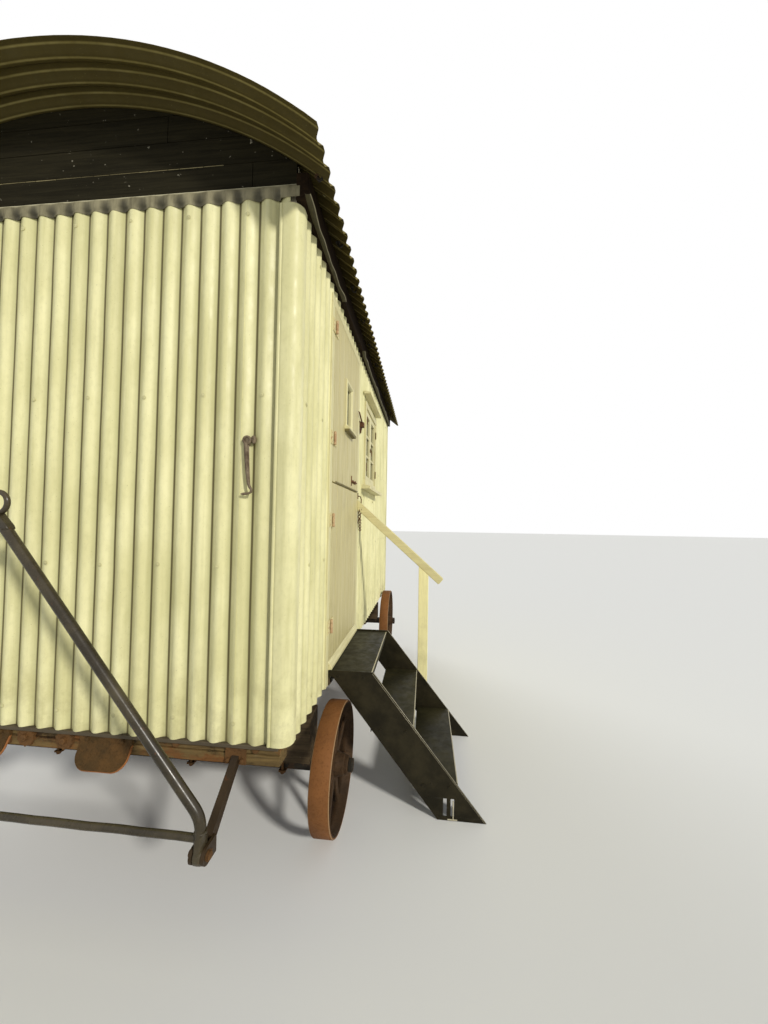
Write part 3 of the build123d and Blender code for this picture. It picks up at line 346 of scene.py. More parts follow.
for look in (
    ("rusty_iron", (84, 60, 35), (108, 76, 43), (50, 36, 22)),
    ("plate_rust", (68, 52, 28), (94, 67, 35), (42, 32, 18), 1.2, (0.6, 0.85)),
    # The rims' paler rust is partly a painted highlight on the foot plates.
    ("rim_rust", (140, 90, 50), (160, 106, 62), (98, 62, 34), 1.6, (0.6, 0.85)),
    # The hook's iron is paler than the other rust, partly as a painted highlight.
    ("hook_iron", (84, 68, 52), (140, 126, 104), (38, 27, 19), 2.4, (0.4, 0.65)),
    ("latch_rust", (104, 72, 46), (124, 88, 58), (66, 46, 30), 1.4, (0.55, 0.85)),
    ("rusty_wheel", (110, 72, 39), (128, 84, 46), (94, 61, 34), 0.7, (0.6, 0.85), None, 0.5, 0.0006),
    # The wheels' inside colour is dark as painted shade on rims, spokes and hubs.
    ("wheel_inside", (52, 38, 23), (70, 50, 30), (34, 25, 16), 0.7, (0.6, 0.85), None, 0.5, 0.0009),
    ("dark_iron", (62, 48, 34), (82, 60, 40), (34, 27, 20), 1.0, (0.55, 0.85), (40, 36, 29), 0.55),
    ("hinge_paint", (172, 138, 102), (190, 160, 122), (128, 94, 66), 1.6, (0.6, 0.85), (210, 200, 150), 0.60),
    ("hinge_rust", (176, 140, 106), (198, 172, 132), (108, 76, 54), 2.4, (0.6, 0.85)),
    ("stay_rust", (80, 54, 37), (102, 70, 47), (46, 31, 22), 1.4, (0.55, 0.85)),
    ("chain_rust", (88, 62, 40), (112, 80, 54), (52, 36, 24), 1.8, (0.55, 0.85)),
):
    rusty(*look)
for look in (
    ("black_steel_tube", (46, 40, 28), (86, 77, 56), (92, 62, 38), (0.2, 0.36), 0.62, 0.0, 0.32),
    ("arm_steel", (46, 36, 24), (70, 56, 38), (80, 52, 30), (0.34, 0.56), 0.60, 0.0, 0.15),
    ("black_steel_plate", (29, 26, 16), (60, 54, 37), (56, 40, 26), (0.34, 0.56), 0.68, 0.0, 0.12),
    ("tread_steel", (36, 34, 20), (62, 58, 37), (66, 48, 30), (0.38, 0.6), 0.66, 0.0, 0.1),
    ("tyre_edge", (138, 112, 78), (156, 130, 94), (112, 78, 46), (0.4, 0.6), 0.62),
    # The pale edge steel is a painted highlight along the stringers' upper edges, and highlight with wear on
    # the tread noses; the bars in the slots share it.
    ("edge_steel", (176, 168, 142), (204, 196, 170), (110, 84, 56), (0.28, 0.48), 0.7, 0.2),
    # The strip metal is dark partly as painted shade under the sheets' foot.
    ("strip_metal", (74, 65, 50), (92, 82, 64), (86, 62, 40), (0.5, 0.7), 0.6),
    ("nail_metal", (204, 199, 150), (176, 170, 126), (140, 112, 74), (0.35, 0.55), 0.62),
):
    worn_steel(*look)
lead("lead_flashing", (146, 139, 110), (102, 96, 73), (200, 193, 160))
# The eaves strip's lead is the flashing's lead made darker, as painted shade under the eaves.
lead("eaves_lead_shaded", (64, 58, 38), (48, 43, 27), (150, 142, 110))
window_glass()
weathered()

# The CAD nodes that stay in sight: each slot's look has its name, apart from these.
SLOT_LOOKS = {"chassis_timber": "chassis_timber_across", "weathered_beam": "chassis_timber_across"}
NODE_LOOKS = {
    "chassis_rails": "chassis_timber_along", "ceiling_boards": "ceiling_timber",
    "window_sills": "cream_along", "drawbar_arms": "arm_steel",
}
for part in frame["record"]["subparts"]:
    node, slot = part["node"], part["material_slot"]
    own = nodes[node].data.materials
    own.clear()
    own.append(MATERIALS[NODE_LOOKS.get(node) or SLOT_LOOKS.get(slot, slot)])


# ---------------------------------------------------------------- mesh tools
def spread(low, high, count):
    """Values from low to high in equal steps."""
    return [low + (high - low) * k / count for k in range(count + 1)]


def circle(sides):
    """The cosine and sine of each corner of a regular outline."""
    angles = [2 * math.pi * k / sides for k in range(sides)]
    return [(math.cos(a), math.sin(a)) for a in angles]


def squared(value, power):
    """A cosine or sine raised to a power, its sign kept, which squares a circle off."""
    return math.copysign(abs(value) ** power, value)


def facing(place, axis):
    """The matrix that puts the local Z axis at a place, along an axis."""
    turn = Vector((0, 0, 1)).rotation_difference(Vector(axis)).to_matrix().to_4x4()
    return Matrix.Translation(Vector(place)) @ turn


def sideways(place, sign=1):
    """The matrix that puts the local Z axis at a place, along the hut's X axis."""
    return Matrix.Translation(Vector(place)) @ Matrix.Rotation(sign * math.pi / 2, 4, "Y")


def along_y(a, b, c):
    """The place of a prism's point whose outline is seen along the hut's length."""
    return a, c, b


def disc(radius, low, high):
    """The profile of a flat round plate."""
    return [(CORE, low), (radius, low), (radius, high), (CORE, high)]


def loft_faces(rings, sides, caps=True):
    """Faces through closed rings of points, with an end face on each end."""
    faces = []
    for a in range(0, (rings - 1) * sides, sides):
        for k in range(sides):
            j = (k + 1) % sides
            faces.append((a + k, a + j, a + sides + j, a + sides + k))
    if caps:
        last = (rings - 1) * sides
        faces += [tuple(range(sides - 1, -1, -1)), tuple(range(last, last + sides))]
    return faces


def turned_faces(segments, count):
    """Faces between closed profiles of count points that follow each other in a circle."""
    faces = []
    for k in range(segments):
        a, b = k * count, (k + 1) % segments * count
        for i in range(count):
            j = (i + 1) % count
            faces.append((a + i, b + i, b + j, a + j))
    return faces


def sheet_faces(rows, columns, far_turned=False):
    """Faces of a sheet of an outer and an inner grid of points, with its four edges closed."""
    width = columns + 1
    total = width * (rows + 1)
    faces = []
    for row in range(rows):
        for a in range(row * width, row * width + columns):
            b = a + width
            faces += [(a, b, b + 1, a + 1), (total + a, total + a + 1, total + b + 1, total + b)]
        for i in (0, columns):
            a = row * width + i
            face = (a, total + a, total + a + width, a + width)
            faces.append(face[::-1] if far_turned and i else face)
    for i in range(columns):
        top = rows * width + i
        faces += [(i, i + 1, total + i + 1, total + i), (top, total + top, total + top + 1, top + 1)]
    return faces


class Build:
    """Collects shapes in the hut's own coordinates and makes one object of them."""

    def __init__(self):
        self.points = []
        self.faces = []
        # The trough and edge marks drive painted shade and painted highlights in some materials.
        self.values = {"tone": [], "trough": [], "edge": []}
        self.tone = 0.0

    def add(self, points, faces, trough=None, edge=None):
        start = len(self.points)
        blank = [0.0] * len(points)
        self.points.extend(Vector(p) for p in points)
        self.faces.extend([start + i for i in face] for face in faces)
        self.values["tone"].extend([self.tone] * len(points))
        self.values["trough"].extend(trough or blank)
        self.values["edge"].extend(edge or blank)

    def box(self, x0, x1, y0, y1, z0, z1):
        xs, ys, zs = (sorted(pair) for pair in ((x0, x1), (y0, y1), (z0, z1)))
        points = [(x, y, z) for z in zs for y in ys for x in xs]
        self.add(points, [
            (0, 2, 3, 1), (4, 5, 7, 6), (0, 1, 5, 4), (2, 6, 7, 3), (0, 4, 6, 2), (1, 3, 7, 5)])

    def prism(self, outline, low, high, place=along_y):
        """An outline of (a, b) pairs, extruded from low to high; place(a, b, c) gives the point."""
        count = len(outline)
        points = [place(a, b, c) for c in (low, high) for a, b in outline]
        faces = [tuple(range(count - 1, -1, -1)), tuple(range(count, 2 * count))]
        self.add(points, faces + loft_faces(2, count, False))

    def lathe(self, profile, matrix, segments=32):
        """A closed profile of (radius, height) pairs turned about the local Z axis."""
        points = [matrix @ Vector((r * c, r * s, h)) for c, s in circle(segments) for r, h in profile]
        self.add(points, turned_faces(segments, len(profile)))

    def tube(self, path, radius, segments=14, squash=None):
        """A round bar along a path; squash gives each ring's two radii as shares."""
        path = [Vector(p) for p in path]
        points = []
        normal = None
        for i, p in enumerate(path):
            tangent = (path[min(i + 1, len(path) - 1)] - path[max(i - 1, 0)]).normalized()
            if normal is None:
                helper = Vector((0, 0, 1)) if abs(tangent.z) < 0.9 else Vector((1, 0, 0))
                normal = tangent.cross(helper).normalized()
            else:
                normal = (normal - tangent * normal.dot(tangent)).normalized()
            other = tangent.cross(normal)
            r = radius[i] if isinstance(radius, (list, tuple)) else radius
            wide, tall = squash[i] if squash else (1, 1)
            points += [p + normal * (r * wide * c) + other * (r * tall * s) for c, s in circle(segments)]
        self.add(points, loft_faces(len(path), segments))

    def ring(self, centre, axis, radius, wire, segments=28, sides=10):
        """A ring of round wire about an axis."""
        self.lathe([(radius + wire * c, wire * s) for c, s in circle(sides)], facing(centre, axis), segments)

    def dome(self, place, axis, radius, height, segments=10):
        """A low round head, such as a nail's or a bolt's, on a surface."""
        matrix = facing(place, axis)
        points = [matrix @ Vector((0, 0, height))]
        for r, h in ((radius * 0.6, height * 0.8), (radius, height * 0.3), (radius, -0.001)):
            points += [matrix @ Vector((r * c, r * s, h)) for c, s in circle(segments)]
        faces = []
        for k in range(segments):
            j = (k + 1) % segments
            faces.append((0, 1 + k, 1 + j))
            for a in (1, 1 + segments):
                faces.append((a + k, a + segments + k, a + segments + j, a + j))
        faces.append(tuple(1 + 2 * segments + k for k in range(segments - 1, -1, -1)))
        self.add(points, faces)

    def bolt(self, place, axis, size, height, washer=0.0025):
        """A hexagon head with a chamfer, on a washer where it has a thickness."""
        matrix = facing(place, axis)
        if washer:
            self.lathe(disc(size * 1.05, 0, washer), matrix, 16)
        head = [(CORE, washer), (size, washer), (size, height * 0.8), (size * 0.85, height), (CORE, height)]
        self.lathe(head, matrix, 6)

    def make(
            self, name, look, slot, replaces="", body="hut", bevel=0.0, smooth=35, segments=2, outward=False):
        """Make the object; replaces names CAD nodes, and outward turns all faces outwards."""
        mesh = bpy.data.meshes.new(name)
        shift = Vector((HUT_X, HUT_Y, 0))
        mesh.from_pydata([p + shift for p in self.points], [], self.faces)
        mesh.validate()
        for key, values in self.values.items():
            if len(values) == len(mesh.vertices) and any(values):
                mesh.attributes.new(key, "FLOAT", "POINT").data.foreach_set("value", values)
        mesh.materials.append(MATERIALS[look])
        obj = bpy.data.objects.new(name, mesh)
        bpy.context.scene.collection.objects.link(obj)
        if bevel:
            modifier = obj.modifiers.new("edge", "BEVEL")
            modifier.width = bevel
            modifier.segments = segments
            modifier.limit_method = "ANGLE"
            modifier.angle_limit = math.radians(35)
        mesh.polygons.foreach_set("use_smooth", [True] * len(mesh.polygons))
        mesh.set_sharp_from_angle(angle=math.radians(smooth))
        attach(obj, body)
        if replaces:
            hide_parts(*replaces.split())
        if outward:
            work = bmesh.new()
            work.from_mesh(mesh)
            bmesh.ops.recalc_face_normals(work, faces=work.faces)
            work.to_mesh(mesh)
            work.free()


def wobble(x, y, z, scale, size):
    """A small smooth unevenness, the same in every run."""
    return noise.noise(Vector((x * scale, y * scale, z * scale))) * size


def arch(x):
    """Height of the roof's underside at a distance from the centreline."""
    return ROOF_Z + math.sqrt(ROOF_R**2 - x * x)


def arch_x(z):
    """Distance from the centreline where the roof's underside is at a height."""
    return math.sqrt(max(ROOF_R**2 - (z - ROOF_Z) ** 2, 0))


# ---------------------------------------------------------------- wall sheets
# For each wall: where a point along it lies, the way out of it, and the seed of its unevenness.
WALLS = {
    "right": (lambda a, d, z: (HALF_WIDTH - d, a, z), (1, 0, 0), 3.0),
    "left": (lambda a, d, z: (-HALF_WIDTH + d, a, z), (-1, 0, 0), 11.0),
    "front": (lambda a, d, z: (a, -HALF_LENGTH + d, z), (0, -1, 0), 23.0),
    "rear": (lambda a, d, z: (a, HALF_LENGTH - d, z), (0, 1, 0), 31.0),
}
NAIL_FROM_EDGE = 0.075
FOOT_RAGGED = 0.004


def wave_depth(along, crest):
    """How far a sheet lies behind the hut's outer plane at a place along the wall."""
    return CREST_BEHIND + (1 - math.cos(2 * math.pi * (along - crest) / PITCH)) * WAVE / 2


def wall_sheet(build, side, a0, a1, z0, z1, crest, proud, ragged):
    """One corrugated sheet, with a little unevenness and its own thickness."""
    place, _, seed = WALLS[side]
    columns = max(2, round((a1 - a0) / (PITCH / 12)))
    rows = max(2, int((z1 - z0) / 0.085))
    outer, inner, troughs = [], [], []
    for row in range(rows + 1):
        for a in spread(a0, a1, columns):
            foot = z0 + ragged * noise.noise(Vector((a * 3.1, seed, 0))) * 0.5
            z = foot + (z1 - foot) * (row / rows)
            depth = wave_depth(a, crest)
            # The trough mark, which the paint darkens as painted shade.
            troughs.append((depth - CREST_BEHIND) / WAVE)
            depth += wobble(a + seed, seed, z, 5.5, 0.0011) + wobble(a, seed, z * 0.5, 17.0, 0.0005)
            depth = max(depth - proud, 0.0004)
            outer.append(place(a, depth, z))
            inner.append(place(a, depth + SHEET_THICK, z))
    faces = [(face[0], *face[:0:-1]) for face in sheet_faces(rows, columns, True)]
    if side in ("left", "rear"):
        faces = [face[::-1] for face in faces]
    build.add(outer + inner, faces, troughs + troughs)


def clad(side, pieces, crest):
    """All the sheets of one wall, each lapped over the next, with their nails."""
    place, out, _ = WALLS[side]
    build = Build()
    nails = Build()
    for a0, a1, z0, z1 in pieces:
        edge = crest + math.floor((a0 - crest) / SHEET_COVER) * SHEET_COVER + PITCH * 0.25
        edges = [a0]
        while edge < a1 - PITCH:
            if edge > a0 + PITCH:
                edges.append(edge)
            edge += SHEET_COVER
        edges.append(a1)
        ragged = FOOT_RAGGED if z0 == SHEETS_BOTTOM else 0.0
        for number in range(len(edges) - 1):
            over = LAP if number + 2 < len(edges) else 0.0
            proud = 0.0 if number % 2 else 0.0013
            wall_sheet(build, side, edges[number], edges[number + 1] + over, z0, z1, crest, proud, ragged)
    for a0, a1, z0, z1 in pieces:
        heights = []
        if z1 - z0 > 1.2:
            heights = [z0 + NAIL_FROM_EDGE, z0 + 0.62, z0 + 1.24, z1 - NAIL_FROM_EDGE]
        elif z1 - z0 > 0.3:
            heights = [z0 + NAIL_FROM_EDGE, z1 - 0.06]
        first = math.ceil((a0 + 0.015 - crest) / PITCH)
        last = math.floor((a1 - 0.015 - crest) / PITCH)
        for level, z in enumerate(heights):
            for n in range(first, last + 1):
                if (n + level) % 3:
                    continue
                a = crest + n * PITCH + random.uniform(-0.003, 0.003)
                spot = place(a, CREST_BEHIND - 0.0012, z + random.uniform(-0.006, 0.006))
                nails.dome(spot, out, 0.0082, 0.0016, 12)
                nails.dome(spot, out, 0.0042, 0.0030, 8)
    node = side + "_cladding"
    look = "cream_sheet_ends" if side in ("front", "rear") else "cream_sheet_sides"
    build.make(node + "_sheets", look, "cream_sheet", node, smooth=60)
    nails.make(node + "_nails", "nail_metal", "cream_sheet", smooth=50)


for side in ("front", "rear"):
    clad(side, [(-END_REACH, END_REACH, SHEETS_BOTTOM, END_TOP)], END_CREST)
WIN_NEAR = WIN_Y0 - SILL_REACH
WIN_FAR = WIN_Y1 + SILL_REACH
window_bits = [
    (WIN_Y0 + 0.001, WIN_Y1 - 0.001, SHEETS_BOTTOM, SILL_BOTTOM),
    (WIN_Y0 + 0.001, WIN_Y1 - 0.001, WIN_Z1, SIDE_TOP),
    (WIN_Y1, WIN_FAR, SHEETS_BOTTOM, SILL_BOTTOM),
    (WIN_Y1, WIN_FAR, WIN_Z0, SIDE_TOP),
    (WIN_FAR, SIDE_REACH, SHEETS_BOTTOM, SIDE_TOP),
    (WIN_NEAR, WIN_Y0, SHEETS_BOTTOM, SILL_BOTTOM),
    (WIN_NEAR, WIN_Y0, WIN_Z0, SIDE_TOP),
]
door_bits = [
    (-SIDE_REACH, POST_NEAR, SHEETS_BOTTOM, SIDE_TOP),
    (POST_NEAR + 0.001, POST_FAR - 0.001, HEAD_TOP, SIDE_TOP),
    (POST_FAR, WIN_NEAR, SHEETS_BOTTOM, SIDE_TOP),
]
clad("right", door_bits + window_bits, SIDE_CREST)
clad("left", [(-SIDE_REACH, WIN_NEAR, SHEETS_BOTTOM, SIDE_TOP)] + window_bits, SIDE_CREST)


def corner_profile():
    """A corner sheet's section, as places and a mark that is 1 at the folded beads, which the paint darkens
    as painted shade.
    """
    x0 = HALF_WIDTH - END_LEG
    # Along the end wall: distance from the edge, distance behind the outer plane, and the mark.
    folds = (
        (0.0, 0.0032, 1.0), (0.002, 0.0008, 0.0), (0.006, 0.0002, 0.0), (0.010, 0.0012, 0.0),
        (0.012, 0.0030, 1.0), (0.015, 0.0012, 0.0), (0.021, 0.0004, 0.0), (0.030, 0.0004, 0.0),
    )
    profile = [(x0 + s, HALF_LENGTH - d, mark) for s, d, mark in folds]
    for k in range(13):
        a = math.radians(90 - 90 * k / 12)
        x, y = HALF_WIDTH - CORNER_R, HALF_LENGTH - CORNER_R
        profile.append((x + CORNER_R * math.cos(a), y + CORNER_R * math.sin(a), 0.0))
    leg = SIDE_LEG - CORNER_R
    for s, d in ((0.012, 0.0004), (leg - 0.006, 0.0004), (leg, 0.0025)):
        profile.append((HALF_WIDTH - d, HALF_LENGTH - CORNER_R - s, 1.0 if d > 0.002 else 0.0))
    return profile


def corner_sheets():
    """Plain rounded sheets round the four corners, each edge folded to a small bead."""
    build = Build()
    profile = corner_profile()
    rows = 30
    z0 = SHEETS_BOTTOM
    z1 = END_TOP - 0.056 + 0.010
    for sx, sy in ((1, 1), (1, -1), (-1, 1), (-1, -1)):
        outer, inner, marks = [], [], []
        for z in spread(z0, z1, rows):
            for x, y, mark in profile:
                shrink = abs(wobble(x * sx, y * sy, z, 9.0, 0.0016))
                outer.append((sx * (x - shrink * 0.6), sy * (y - shrink * 0.6), z))
                inner.append((sx * (x - SHEET_THICK), sy * (y - 0.0022), z))
                marks.append(mark)
        faces = sheet_faces(rows, len(profile) - 1)
        if sx * sy < 0:
            faces = [face[::-1] for face in faces]
        build.add(outer + inner, faces, marks + marks)
        for z in (z0 + 0.08, z0 + 0.66, z0 + 1.28, z1 - 0.07):
            end_spot = (sx * (HALF_WIDTH - END_LEG + 0.030), sy * (HALF_LENGTH - 0.001), z)
            side_spot = (sx * (HALF_WIDTH - 0.001), sy * (HALF_LENGTH - 0.058), z)
            build.dome(end_spot, (0, sy, 0), 0.006, 0.0009)
            build.dome(side_spot, (sx, 0, 0), 0.006, 0.0009)
    build.make("corner_sheets_folded", "cream_sheet", "cream_sheet", "corner_sheets", smooth=50)


def flashing():
    """Lead dressed down over the tops of the end sheets, flat above and fluted below."""
    build = Build()
    reach = HALF_WIDTH - 0.010
    columns = int(2 * reach / (PITCH / 10))
    # Height over the sheets' top, distance behind the outer plane, and the flutes' share.
    levels = [
        (0.030, 0.012, 0.0), (0.027, 0.009, 0.0), (0.022, 0.004, 0.10), (0.014, 0.001, 0.30),
        (0.002, 0.0, 0.42), (-0.0095, 0.0, 0.46), (-0.013, 0.0, 0.85), (-0.026, 0.0, 1.0),
    ]
    for sy in (-1, 1):
        outer, inner, marks, edges = [], [], [], []
        for level, (dz, back, share) in enumerate(levels):
            for x in spread(-reach, reach, columns):
                plain = abs(x) > HALF_WIDTH - END_LEG
                wave = 0.0 if plain else (wave_depth(x, END_CREST) - CREST_BEHIND) / WAVE
                depth = back + share * wave * 0.0145 + abs(wobble(x, sy, dz, 14.0, 0.0012))
                z = END_TOP + dz + (wobble(x, 3 * sy, 0, 11.0, 0.0035) if level > 6 else 0.0)
                outer.append((x, sy * (HALF_LENGTH - depth), z))
                inner.append((x, sy * (HALF_LENGTH - depth - SHEET_THICK), z))
                # The flutes' mark, for painted shade, and the top three levels' mark, for a painted
                # highlight.
                marks.append(wave * min(share * 2, 1))
                edges.append(1.0 if level < 3 else 0.0)
        faces = sheet_faces(len(levels) - 1, columns)
        if sy > 0:
            faces = [face[::-1] for face in faces]
        build.add(outer + inner, faces, marks + marks, edges + edges)
    build.make("gable_lead", "lead_flashing", "lead_flashing", "gable_flashings", smooth=60)


def gable_boards():
    """Black boards across each gable, cut to the roof's curve, with a worn edge on one joint."""
    face_y = FACE_Y + 0.016
    levels = [END_TOP - 0.010, GABLE_JOINT, 2.785, 2.889, arch(0) - 0.0015]
    joints = [0.76, -0.31, 0.42, None]
    for sy, node in ((-1, "front_gable"), (1, "rear_gable")):
        def place(a, b, c):
            return a, sy * c, b

        build = Build()
        for z0, z1, joint in zip(levels, levels[1:], joints):
            low = z0 + GABLE_GAP
            limit = min(FACE_X - 0.001, arch_x(low + 0.003))
            spans = [(-limit, limit)]
            if joint is not None and joint < limit:
                spans = [(-limit, joint - GABLE_GAP), (joint + GABLE_GAP, limit)]
            for left, right in spans:
                outline = [(left, low), (right, low)]
                outline += [(x, min(z1 - GABLE_GAP, arch(x) - 0.0015)) for x in spread(right, left, 56)]
                build.tone = random.random()
                build.prism(outline, face_y - 0.014, face_y + random.uniform(-0.0012, -0.0002), place)
        build.make(node + "_boards", "black_boards", "black_boards", node, outward=True)
        worn = Build()
        x0, end = -0.78, 0.74
        y0, y1 = sy * (face_y - 0.004), sy * (face_y - 0.0001)
        for _ in range(19):
            x1 = min(x0 + random.uniform(0.03, 0.12), end)
            low = GABLE_JOINT - 0.0036 + random.uniform(0, 0.0012)
            worn.box(x0, x1 - 0.003, y0, y1, low, GABLE_JOINT - 0.0012)
            x0 = x1
            if x0 >= end:
                break
        worn.make(node + "_worn_edge", "board_edge", "black_boards", outward=True)


corner_sheets()
flashing()
gable_boards()


# ---------------------------------------------------------------- roof
ROOF_TURNS = (0.0, 0.12, 0.18, 0.25, 0.32, 0.38, 0.5, 0.62, 0.68, 0.75, 0.82, 0.88)


def roof_wave(y):
    """The roof's wave, 0 in a trough to 1 on a crest, how steep it is, and the underside's painted shade, 0
    on its narrow painted highlight lines.
    """
    turn = (y + HALF_LENGTH) / PITCH
    share = min(max((abs(turn - round(turn)) - 0.12) / 0.26, 0), 1)
    place = turn % 1.0 if y < 0 else -turn % 1.0
    near = min(place, 1 - place, abs(place - 0.62))
    return share * share * (3 - 2 * share), share * (1 - share), min(near / 0.10, 1)


def on_roof(r, angle, y):
    """A place at a radius and an angle from the roof's axis."""
    return r * math.sin(angle), y, ROOF_Z + r * math.cos(angle)


def roof():
    """Corrugated sheets bent over the hut, their waves running from eave to eave."""
    build = Build()
    arcs = 44
    waves = round(2 * HALF_LENGTH / PITCH)
    edges = [-ROOF_HALF_LENGTH, *(n * PITCH - HALF_LENGTH for n in range(6, waves, 8)), ROOF_HALF_LENGTH]
    for number in range(len(edges) - 1):
        y0, y1 = edges[number], edges[number + 1]
        if number + 2 < len(edges):
            y1 += LAP
        turned = [(wave + turn) * PITCH - HALF_LENGTH for wave in range(-3, waves + 4) for turn in ROOF_TURNS]
        stations = [y0, *(y for y in turned if y0 + 0.001 < y < y1 - 0.001), y1]
        proud = 0.0 if number % 2 else 0.0012
        outer, inner, steep, under = [], [], [], []
        for angle in spread(-ROOF_HALF_ANGLE, ROOF_HALF_ANGLE, arcs):
            for y in stations:
                # The third value is the underside's painted shade, with narrow painted highlight lines.
                wave, slope, underside_shade = roof_wave(y)
                r = ROOF_R + ROOF_THICK - 0.0024 + proud - (1 - wave) * 0.0170
                r -= abs(wobble(angle * 2, y, 0, 6.0, 0.0010))
                outer.append(on_roof(r, angle, y))
                inner.append(on_roof(r - 0.0014, angle, y))
                steep.append(slope)
                under.append(underside_shade)
        # Outer faces carry the steepness, for painted shade on the slopes; inner faces carry the underside's
        # painted shade and highlight lines.
        build.add(outer + inner, sheet_faces(arcs, len(stations) - 1, True), None, steep + under)
    build.make("roof_corrugated", "roof_sheet", "roof_sheet", "roof_sheets", smooth=60)

    nails = Build()
    for share in (-0.93, -0.5, 0.0, 0.5, 0.93):
        angle = ROOF_HALF_ANGLE * share
        y = 1.5 * PITCH - HALF_LENGTH
        while y < HALF_LENGTH:
            spot = on_roof(ROOF_R + ROOF_THICK - 0.0022, angle, y)
            nails.dome(spot, (math.sin(angle), 0, math.cos(angle)), 0.009, 0.0012)
            y += 3 * PITCH
    nails.make("roof_nails", "nail_metal", "roof_sheet", smooth=50)


def eaves_timbers():
    """Dark beams under the eaves, in three lengths a side."""
    build = Build()
    for side in (1, -1):
        x0, x1 = side * FACE_X, side * (FACE_X + 0.046)
        y = FRONT
        for piece in (1.12, 1.06, 2 * HALF_LENGTH - 2.18):
            build.tone = random.random()
            build.box(x0, x1, y + 0.001, y + piece - 0.001, SIDE_TOP, SIDE_TOP + 0.100)
            y += piece
    build.make("eaves_timbers", "dark_eaves", "dark_eaves", "eaves_beams", bevel=0.003, outward=True)


def eaves_hooks():
    """Bent hooks under the roof's edge, each on a washer."""
    hooks = Build()
    x = FACE_X + 0.078
    z = arch(x) - 0.019
    bend = ((0, 0.019), (0.001, 0.006), (0.008, -0.004), (0.018, -0.002), (0.021, 0.007))
    for side in (1, -1):
        for y in spread(FRONT + 0.004, HALF_LENGTH - 0.004, 10):
            sway = random.uniform(-0.004, 0.004)
            path = [(side * (x + dx), y + sway * k, z + dz) for k, (dx, dz) in enumerate(bend)]
            hooks.tube(path, [0.0048, 0.0048, 0.0046, 0.0044, 0.0034], 10)
            hooks.lathe(disc(0.011, 0.0, 0.003), Matrix.Translation((side * x, y, z + 0.0155)), 14)
    hooks.make("eaves_hooks", "dark_iron", "rusty_iron", smooth=40)


def eaves_strip():
    """A curled strip of lead over the tops of the side sheets, broken at the door."""
    strip = Build()
    # Height over the sheets' top, reach out from the wall, and the mark for a painted highlight on the outer
    # lip.
    rows = [
        (0.002, 0.0085, 0.0), (-0.002, 0.0100, 0.0), (-0.0035, 0.018, 0.0), (-0.0045, 0.0265, 0.0),
        (-0.0030, 0.0315, 1.0),
    ]
    near, far = FRONT - 0.022, HALF_LENGTH - 0.03
    for side, y0, y1 in ((1, near, -1.00), (1, -0.42, far), (-1, near, far)):
        columns = int((y1 - y0) / 0.018)
        outer, inner, marks = [], [], []
        for dz, out, mark in rows:
            share = out / 0.0315
            for y in spread(y0, y1, columns):
                curl = 0.90 + (0.10 * math.sin(9.0 * (y - y0) + 0.9) + wobble(y, side, 0, 11.0, 0.20)) * share
                lift = 0.009 * max(1 - (y - y0) / 0.12, 0) ** 2
                x = HALF_WIDTH + 0.001 + out * curl + lift
                z = SIDE_TOP + dz + wobble(y, side * 5, 1, 7.0, 0.004) * share
                outer.append((side * x, y, z))
                inner.append((side * (x - 0.0008), y, z - 0.0018))
                marks.append(mark)
        strip.add(outer + inner, sheet_faces(len(rows) - 1, columns), None, marks + marks)
    # The strip's darker lead is painted shade under the eaves.
    strip.make("eaves_lead_strip", "eaves_lead_shaded", "lead_flashing", smooth=60, outward=True)


roof()
eaves_timbers()
eaves_hooks()
eaves_strip()


# ---------------------------------------------------------------- door
def door_boards(build, y0, y1, z0, z1):
    """A boarded panel with a V at each joint, inside and out."""
    groove, depth = 0.003, 0.004
    joints = [HINGE_Y + DOOR_WIDTH * k / 6 for k in range(1, 6)]
    joints = [j for j in joints if y0 + 0.012 < j < y1 - 0.012]
    outline = [(DOOR_IN, y0)]
    for j in joints:
        outline += [(DOOR_IN, j - groove), (DOOR_IN + depth, j), (DOOR_IN, j + groove)]
    outline += [(DOOR_IN, y1), (HALF_WIDTH, y1)]
    for j in reversed(joints):
        outline += [(HALF_WIDTH, j + groove), (HALF_WIDTH - depth, j), (HALF_WIDTH, j - groove)]
    outline.append((HALF_WIDTH, y0))
    build.prism(outline, z0, z1, lambda a, b, c: (a, b, c))


def door_leaves():
    """The two leaves of the stable door, boarded upright, the upper one round its window."""
    low, high = DOOR_SPLIT + 0.003, DOOR_TOP
    for body, panels in (
        ("lower_leaf", [(HINGE_Y, FREE_Y, DOOR_BOTTOM, DOOR_SPLIT - 0.003)]),
        ("upper_leaf", [
            (HINGE_Y, PANE_Y0, low, high), (PANE_Y1, FREE_Y, low, high),
            (PANE_Y0, PANE_Y1, low, PANE_Z0), (PANE_Y0, PANE_Y1, PANE_Z1, high),
        ]),
    ):
        build = Build()
        for panel in panels:
            door_boards(build, *panel)
        node = "door_" + body
        build.make(
            node + "_boards", "cream_door", "cream_timber", node, body,
            bevel=0.0012, smooth=30, segments=1, outward=True)


